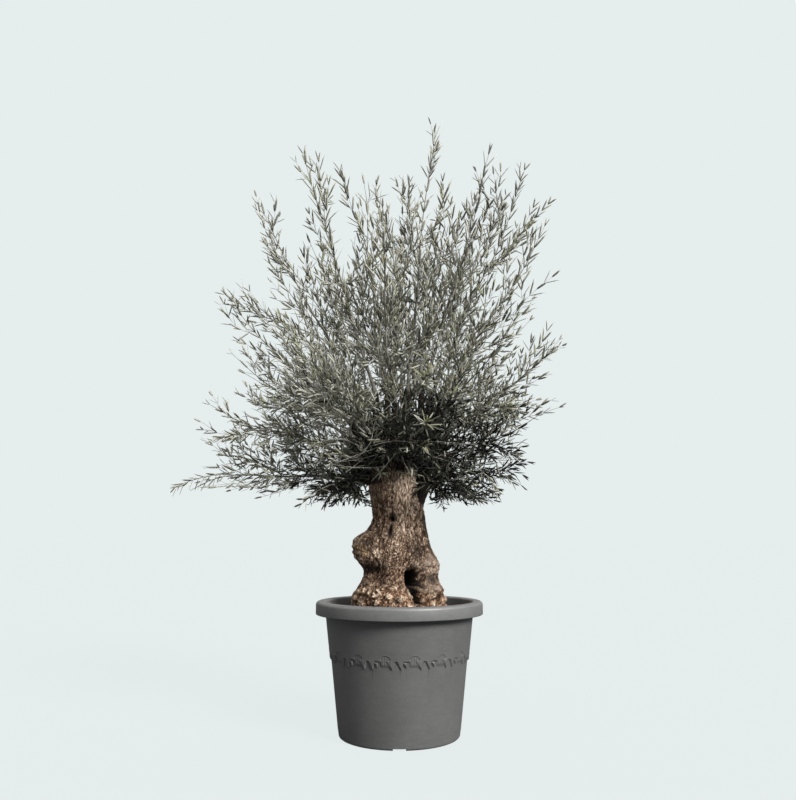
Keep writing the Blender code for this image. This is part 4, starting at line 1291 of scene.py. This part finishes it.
class Foliage:
    """Gathers shoots and leaves. A leaf is a root, a way, an upward normal, a length, a width and a tone."""

    def __init__(self):
        self.draw = random.Random(FOLIAGE_SEED)
        self.pale, self.dark = Tubes(), Tubes()
        self.roots, self.ways, self.normals = [], [], []
        self.sizes, self.widths, self.tones = [], [], []
        self.reach = None
        self.hangs = 0.0  # how far leaves may hang under the fringe

    def pick_tone(self, place):
        openness, shade = openness_at(place), shade_at(place)
        side = min(max(-place.x / TONE_SIDE, -1.0), 1.0) * ease((TONE_SIDE_TOP - place.z) / TONE_SIDE_FADE)
        weights = []
        for _, _, _, in_open, in_heart, in_shade, leftward in TONES:
            lit = in_heart + (in_open - in_heart) * openness
            # in the painted shade under the crown the near-black shaded tone takes over
            weights.append((lit + (in_shade - lit) * shade) * 2.0 ** (leftward * side))
        return self.draw.choices(range(len(TONES)), weights)[0]

    def twig(self, line, radius, tip_radius=SHOOT_TIP_RADIUS, sides=SHOOT_SIDES, fall=1.0):
        # stems under the crown get the near-black streaks of painted shade
        tubes = self.dark if shade_at(line[len(line) // 2]) > 0.5 else self.pale
        tubes.add(line, tapered(len(line), radius, tip_radius, fall), sides)

    def stem(self, line, root_radius, tip_radius, sides=STEM_SIDES):
        """A pale twig, wherever it stands."""
        self.pale.add(line, tapered(len(line), root_radius, tip_radius), sides)

    def leaf(self, root, ahead, outward, size, tone, angle, broad=1.0):
        lean = math.radians(angle)
        way = ahead * math.cos(lean) + outward * math.sin(lean)
        if root.z < HUB.z + HANG_BELOW and (root - HUB).length > HANG_FROM:
            way = (way + Vector((0, 0, -LEAF_HANG * self.draw.random()))).normalized()
        normal = ahead * math.sin(lean) - outward * math.cos(lean)
        normal = normal + Vector((0, 0, LEAF_SKY_TURN)) + noise.random_unit_vector() * 0.35
        normal = (normal - way * normal.dot(way)).normalized()
        tip = root + way * size
        too_far = self.reach is not None and (tip - HUB).length > self.reach + REACH_MARGIN
        if too_far or outside_box(tip) or tip.z < fringe_height(tip) - self.hangs:
            return
        if self.draw.random() < STRAY_TONE:
            tone = self.pick_tone(root)
        self.roots.append(tuple(root))
        self.ways.append(tuple(way))
        self.normals.append(tuple(normal))
        self.sizes.append(size)
        self.widths.append(LEAF_WIDTH * broad * (0.55 + 0.45 * size / USUAL_LEAF))
        self.tones.append(tone)

    def leaves_on(self, line, first, spacing, tone, spread=1.0):
        """Opposite pairs, each turned a quarter from the last, and a small pair at the tip."""
        draw = self.draw
        length = line_length(line)
        turn = draw.uniform(0, math.tau)
        full_size = leaf_length_at(line[len(line) // 2]) * draw.uniform(*SPRAY_SIZES)
        place = first
        while place < length - 0.6 * spacing:
            share = place / length
            here = along_line(line, share)
            openness = openness_at(here)
            ahead = direction_at(line, share)
            fullness = ease((length - place) / TIP_TAPER)
            fullness = (TIP_LEAF_SIZE + (1.0 - TIP_LEAF_SIZE) * fullness) * draw.uniform(*LEAF_SIZES)
            for side in (0.0, math.pi):
                if draw.random() < LEAF_LOST:
                    continue
                outward = outward_of(ahead, turn + side + draw.uniform(-0.25, 0.25))
                low, high = (between((a, b), openness) for a, b in zip(*LEAF_ANGLE))
                lean = spread * draw.uniform(low, high) * (1.0 - 0.25 * share)
                self.leaf(here, ahead, outward, full_size * fullness * draw.uniform(0.9, 1.1), tone, lean)
            turn += math.pi / 2 + draw.uniform(-0.2, 0.2)
            place += spacing * draw.uniform(0.8, 1.25)
        ahead = (line[-1] - line[-2]).normalized()
        for side in (0.0, math.pi):
            size = full_size * draw.uniform(*TIP_PAIR_SIZES)
            lean = draw.uniform(*TIP_PAIR_ANGLES)
            self.leaf(line[-1], ahead, outward_of(ahead, turn + side), size, tone, lean)

    def shoot(self, root, ahead, outward, size, cell, twiglets):
        """One shoot with its leaves and, where it is long enough, its twiglets."""
        draw = self.draw
        openness = openness_at(root)
        lean = math.radians(between(SHOOT_ANGLE, openness) * draw.uniform(0.7, 1.3))
        way = (ahead * math.cos(lean) + outward * math.sin(lean)).normalized()
        line = None
        sideways = way.cross(noise.random_unit_vector())
        for _ in range(SHOOT_TRIES):
            course = (way * 0.72 + ahead * 0.28 + Vector((0, 0, between(SHOOT_LIFT, openness)))).normalized()
            tip = root + course * size
            bow = sideways * size * SHOOT_CURVE
            back = tip - (course + ahead * 0.25) * size * 0.30 + bow
            trial = bezier((root, root + way * size * 0.33 + bow, back, tip), SHOOT_POINTS)
            near = (tip - HUB).length < self.reach - 0.03 and tip.z > fringe_height(tip)
            if near and not outside_box(tip + course * 0.03) and cell.holds(trial[2:], SHOOT_MARGIN):
                line = trial
                break
            size *= SHOOT_SHRINK
        if line is None or size < SHOOT_LEAST * 0.7:
            return
        self.twig(line, SHOOT_RADIUS * (0.6 + size * 2.4))
        tone = self.pick_tone(line[len(line) // 2])
        self.leaves_on(line, PAIR_FIRST, between(PAIR_SPACING, openness), tone)
        if not twiglets or size < TWIGLET_FROM:
            return
        turn = draw.uniform(0, math.tau)
        place = TWIGLET_FIRST
        while place < size * 0.8:
            share = place / size
            here = along_line(line, share)
            along = direction_at(line, share)
            side = outward_of(along, turn)
            turn += GOLDEN_ANGLE
            length = size * TWIGLET_SHARE * (1.0 - 0.5 * share) * draw.uniform(0.7, 1.2)
            self.shoot(here, along, side, length, cell, False)
            place += between(TWIGLET_SPACING, openness) * draw.uniform(0.8, 1.2)

    def shoots_on(self, line, cell, start, crowding=1.0, outgrow=0.05):
        """Shoots along a whip: crowded and spreading in the heart, sparse, long and upright further out."""
        draw = self.draw
        length = line_length(line)
        turn = draw.uniform(0, math.tau)
        place = start
        while place < length * 0.97:
            share = place / length
            here = along_line(line, share)
            openness = openness_at(here)
            ahead = direction_at(line, share)
            outward = outward_of(ahead, turn)
            turn += GOLDEN_ANGLE
            most = min(between(SHOOT_LONGEST, openness), (length - place) + outgrow)
            size = max(SHOOT_LEAST, most * draw.uniform(*SHOOT_VARIES))
            self.shoot(here, ahead, outward, size, cell, True)
            place += between(SHOOT_SPACING, openness) * draw.uniform(0.7, 1.3) * crowding

    def sprouts_on_head(self):
        """Leafy sprouts straight from the old wood at the head of the trunk."""
        draw = self.draw
        for _ in range(HEAD_SPROUTS):
            azimuth, z = draw.uniform(0, 360), draw.uniform(*SPROUT_HEIGHTS)
            radius = float(trunk_radius(azimuth, z)) - 0.004
            outward = heading(azimuth, 0)
            root = Vector((outward.x * radius, outward.y * radius, z))
            way = heading(azimuth + draw.uniform(-40, 40), draw.uniform(-4, 60))
            size = draw.uniform(*SPROUT_SIZES)
            tip = root + way * size
            line = bezier((root, root + outward * size * 0.4, tip - way * size * 0.3, tip), SHOOT_POINTS)
            self.twig(line, SHOOT_RADIUS * 1.1)
            self.leaves_on(line, 0.014, PAIR_SPACING[0] * 0.9, self.pick_tone(line[4]))

    def bare_twigs(self):
        """Thin grey twigs that have lost their leaves, crossing under the crown."""
        draw = self.draw
        for _ in range(BARE_TWIGS):
            azimuth = draw.uniform(0, 360)
            root = HUB + heading(azimuth, draw.uniform(0, 35)) * draw.uniform(0.15, 0.24)
            way = heading(azimuth + draw.uniform(-75, 75), draw.uniform(-25, 35))
            size = draw.uniform(*BARE_TWIG_SIZES)
            tip = root + way * size
            if tip.z < CROWN_FLOOR or outside_box(tip):
                continue
            middle = root.lerp(tip, 0.5) + noise.random_unit_vector() * size * 0.10
            line = bezier((root, root.lerp(middle, 0.7), middle.lerp(tip, 0.3), tip), SHOOT_POINTS)
            self.stem(line, 0.0018, 0.0008, SHOOT_SIDES)

    def bare_stem(self, root_radius, tip_radius, places):
        self.stem(smoothed([Vector(place) for place in places], 5), root_radius, tip_radius)

    def hanging_shoot(self, root, tip):
        root, tip = Vector(root), Vector(tip)
        drop = Vector((0, 0, root.z - tip.z))
        line = bezier((root, root.lerp(tip, 0.35) + drop * 0.25, root.lerp(tip, 0.8) + drop * 0.30, tip), 12)
        self.stem(line, 0.0020, 0.0009)
        self.leaves_on(line, 0.030, 0.017, OLIVE, 1.6)

    def rosette(self, azimuth, elevation, distance):
        """A shoot from the heart that ends in a star of long pale leaves round a young tip."""
        way = heading(azimuth, elevation)
        root, tip = HUB + way * 0.20 + Vector((0, 0, 0.02)), HUB + way * distance
        first = root.lerp(tip, 0.35) + Vector((0, 0, 0.05))
        second = root.lerp(tip, 0.7) + Vector((0, 0, 0.04))
        line = bezier((root, first, second, tip), 14)
        self.stem(line, 0.0020, 0.0010)
        self.leaves_on(line[7:], 0.02, PAIR_SPACING[1], self.pick_tone(tip))
        self.star(tip, way, ROSETTE_LEAVES, SILVER)
        for n in range(6):
            self.leaf(tip, way, outward_of(way, n), USUAL_LEAF * 0.55, YOUNG, 12.0 + 4.0 * n)

    def star(self, tip, way, count, tone):
        """Long leaves standing round the end of a stem, the last ones more upright."""
        for n in range(count):
            outward = outward_of(way, GOLDEN_ANGLE * n)
            root = tip - way * 0.0022 * (count - n)
            shade = (DEEP, tone, OLIVE)[n % 3]
            size = USUAL_LEAF * self.draw.uniform(0.90, 1.20)
            self.leaf(root, way, outward, size, shade, 82.0 - 36.0 * n / count, STAR_LEAF_WIDTH)

    def curl(self, middle, radius):
        """Thin pale shoots wound into a loose ring, with long leaves that lie along them."""
        for n in range(CURL_SHOOTS):
            wide = radius * (1.0 - 0.10 * n)
            line = []
            for step in range(SHOOT_POINTS):
                angle = GOLDEN_ANGLE * n + CURL_TURN * step / (SHOOT_POINTS - 1)
                place = Vector((math.cos(angle) * wide, 0.007 * (n - 2), math.sin(angle) * wide * 1.15))
                line.append(middle + place)
            self.stem(line, 0.0013, 0.0008, SHOOT_SIDES)
            self.leaves_on(line, 0.024, 0.030, SILVER if n % 2 else OLIVE, 0.45)


def fringe_height(place):
    """The least height of leaves; the fringe stands higher on the far left, but not at the back."""
    rise = FRINGE_RISE * ease((FRINGE_FROM - place.x) / FRINGE_WIDTH)
    return CROWN_FLOOR + rise * ease(-place.y / 0.2 + 1.5)


def outside_box(point):
    low, high = CAD_BOX
    return any(point[k] < low[k] or point[k] > high[k] for k in range(3))


def grow(limbs):
    """Every mass: leader, side whips, shoots, twiglets and leaves."""
    noise.seed_set(NOISE_SEED)
    foliage = Foliage()
    for number, limb in enumerate(limbs):
        cell = Cell(limbs, number)
        draw = random.Random(number + 1)
        sides = side_handles(limb, cell, draw)
        bough_end = limb["radius"] * BOUGH_TAPER
        bough = bezier(limb["bough"], 10)
        whips = []
        for handles in (limb["leader"], *sides):
            line = bezier(handles, FINE_POINTS)
            line.append(line[-1] + (line[-1] - line[-2]).normalized() * TIP_LEAF * 0.5)
            whips.append((wandering(line, draw), bough_end * (SIDE_WHIP_SHARE if whips else 1.0)))
        foliage.reach = limb["reach"]
        foliage.shoots_on(bough, cell, 0.012, 0.55, 0.16)
        thinned = THINNED.get(limb["name"], 1.0)
        for line, radius in whips:
            while line[-1].z < fringe_height(line[-1]):
                line.pop()
            foliage.twig(line, radius, WHIP_TIP_RADIUS, WHIP_SIDES, WHIP_FALL)
            foliage.shoots_on(line, cell, 0.015, thinned)
            tone = foliage.pick_tone(line[-6])
            foliage.leaves_on(line, line_length(line) * WHIP_BARE, PAIR_SPACING[1], tone)
    foliage.reach = None
    foliage.sprouts_on_head()
    foliage.bare_twigs()
    for place in ROSETTES:
        foliage.rosette(*place)
    for stem in BARE_STEMS:
        foliage.bare_stem(*stem)
    foliage.hangs = SPRIG_HANGS
    for ends in HANGING_SHOOTS:
        foliage.hanging_shoot(*ends)
    for place, way, count, tone in STARS:
        foliage.star(Vector(place), Vector(way).normalized(), count, tone)
    for place, radius in CURLS:
        foliage.curl(Vector(place), radius)
    return foliage


# A leaf along X, its edges along Y and its upper side to +Z: place along it, across it and above it
LEAF_OUTLINE = (
    (0.00, 0.00, 0.000),
    (0.22, -0.44, 0.012),
    (0.22, 0.00, -0.006),
    (0.22, 0.44, 0.012),
    (0.70, -0.43, 0.010),
    (0.70, 0.00, -0.008),
    (0.70, 0.43, 0.010),
    (1.00, 0.00, -0.025),
)
LEAF_MIDRIB = (2, 5)
UPPER_TRIANGLES = ((0, 1, 2), (0, 2, 3), (4, 7, 5), (5, 7, 6))
UPPER_QUADS = ((1, 4, 5, 2), (2, 5, 6, 3))
UNDER_OF = {2: 8, 5: 9}


def underside(faces):
    return tuple(tuple(UNDER_OF.get(corner, corner) for corner in reversed(face)) for face in faces)


def build_leaves(foliage):
    """One piece for each tone of leaf. Each leaf is a thin closed blade, folded along its midrib."""
    roots, ways, normals = np.array(foliage.roots), np.array(foliage.ways), np.array(foliage.normals)
    sizes, widths, tones = np.array(foliage.sizes), np.array(foliage.widths), np.array(foliage.tones)
    edges = np.cross(normals, ways)
    outline = np.array(LEAF_OUTLINE)
    outline = np.concatenate([outline, outline[list(LEAF_MIDRIB)]])
    thickness = np.array([0] * len(LEAF_OUTLINE) + [LEAF_THICKNESS] * len(LEAF_MIDRIB))[None, :, None]
    for index, (name, upper, under, *_) in enumerate(TONES):
        mine = tones == index
        count = int(mine.sum())
        length, width = sizes[mine][:, None, None], widths[mine][:, None, None]
        along = roots[mine][:, None, :] + ways[mine][:, None, :] * (outline[None, :, 0:1] * length)
        points = along + edges[mine][:, None, :] * (outline[None, :, 1:2] * width)
        points = points + normals[mine][:, None, :] * (outline[None, :, 2:3] * length - thickness)
        start = (np.arange(count) * len(outline))[:, None, None]
        triangles = (np.array(UPPER_TRIANGLES + underside(UPPER_TRIANGLES))[None] + start).reshape(-1, 3)
        quads = (np.array(UPPER_QUADS + underside(UPPER_QUADS))[None] + start).reshape(-1, 4)
        slots = np.concatenate([np.tile([0, 0, 0, 0, 1, 1, 1, 1], count), np.tile([0, 0, 1, 1], count)])
        top = leaf_material(f"leaf_{name}_upper", upper, 0.52, 0.28)
        bottom = leaf_material(f"leaf_{name}_under", under, 0.75, 0.20)
        piece = object_from(f"leaves_{name}", points.reshape(-1, 3), [triangles, quads], [top, bottom], slots)
        finish_piece(piece, MASS_NODES, smooth=False)


# ---------------------------------------------------------------- stage


def build_stage():
    bpy.ops.mesh.primitive_plane_add(size=400.0)
    floor = bpy.context.object
    floor.name = "floor"
    floor.data.materials.append(floor_material())


def build_light():
    """Soft sky that is brightest overhead, seen as a plain backdrop, and a soft key light from the right."""
    world = bpy.data.worlds.new("studio")
    bpy.context.scene.world = world
    world.use_nodes = True
    made = Nodes(world.node_tree)
    backdrop = made.tree.nodes["Background"]
    backdrop.inputs["Color"].default_value = (*BACKGROUND, 1.0)
    sky = made.add("ShaderNodeBackground", Color=(1.0, 0.99, 0.97, 1.0))
    rise = made.add("ShaderNodeMapRange")
    rise.inputs["From Min"].default_value = -1.0
    made.link(made.height("Generated"), rise.inputs["Value"])
    stops = ((0.0, SKY_FLOOR), (0.48, SKY_FLOOR), (0.52, SKY_HORIZON), (1.0, SKY_ZENITH))
    made.link(made.ramp(rise.outputs[0], stops), sky.inputs["Strength"])
    made.finish("World Output", backdrop, sky)
    key = bpy.data.lights.new("key", "SUN")
    key.energy = KEY_POWER
    key.angle = math.radians(KEY_SPREAD)
    key.color = (1.0, 0.985, 0.96)
    lamp = add_object("key", key)
    lamp.rotation_euler = (math.radians(90.0 - KEY_ELEVATION), 0.0, math.radians(KEY_AZIMUTH))


def build_camera():
    camera = bpy.data.cameras.new("camera")
    camera.lens = CAMERA_LENS
    camera.sensor_width = 36.0
    camera.clip_end = 600.0
    seat = add_object("camera", camera)
    seat.location = CAMERA_PLACE
    seat.rotation_euler = (math.pi / 2 + CAMERA_PITCH, 0.0, 0.0)
    bpy.context.scene.camera = seat


def main():
    build_camera()
    build_light()
    build_stage()
    bark = bark_material()
    limbs = [limb_of(*row) for row in MASSES]
    build_planter()
    build_soil()
    build_trunk(bark)
    build_boughs(limbs, bark)
    foliage = grow(limbs)
    twigs = (
        ("twigs_pale", foliage.pale, "young_stem", PALE_STEM),
        ("twigs_dark", foliage.dark, "shaded_stem", DARK_STEM),
    )
    for name, tubes, stem, tones in twigs:
        finish_piece(tubes.piece(name, twig_material(stem, *tones)), MASS_NODES)
    build_leaves(foliage)
    bpy.context.scene.view_settings.view_transform = "Standard"


main()
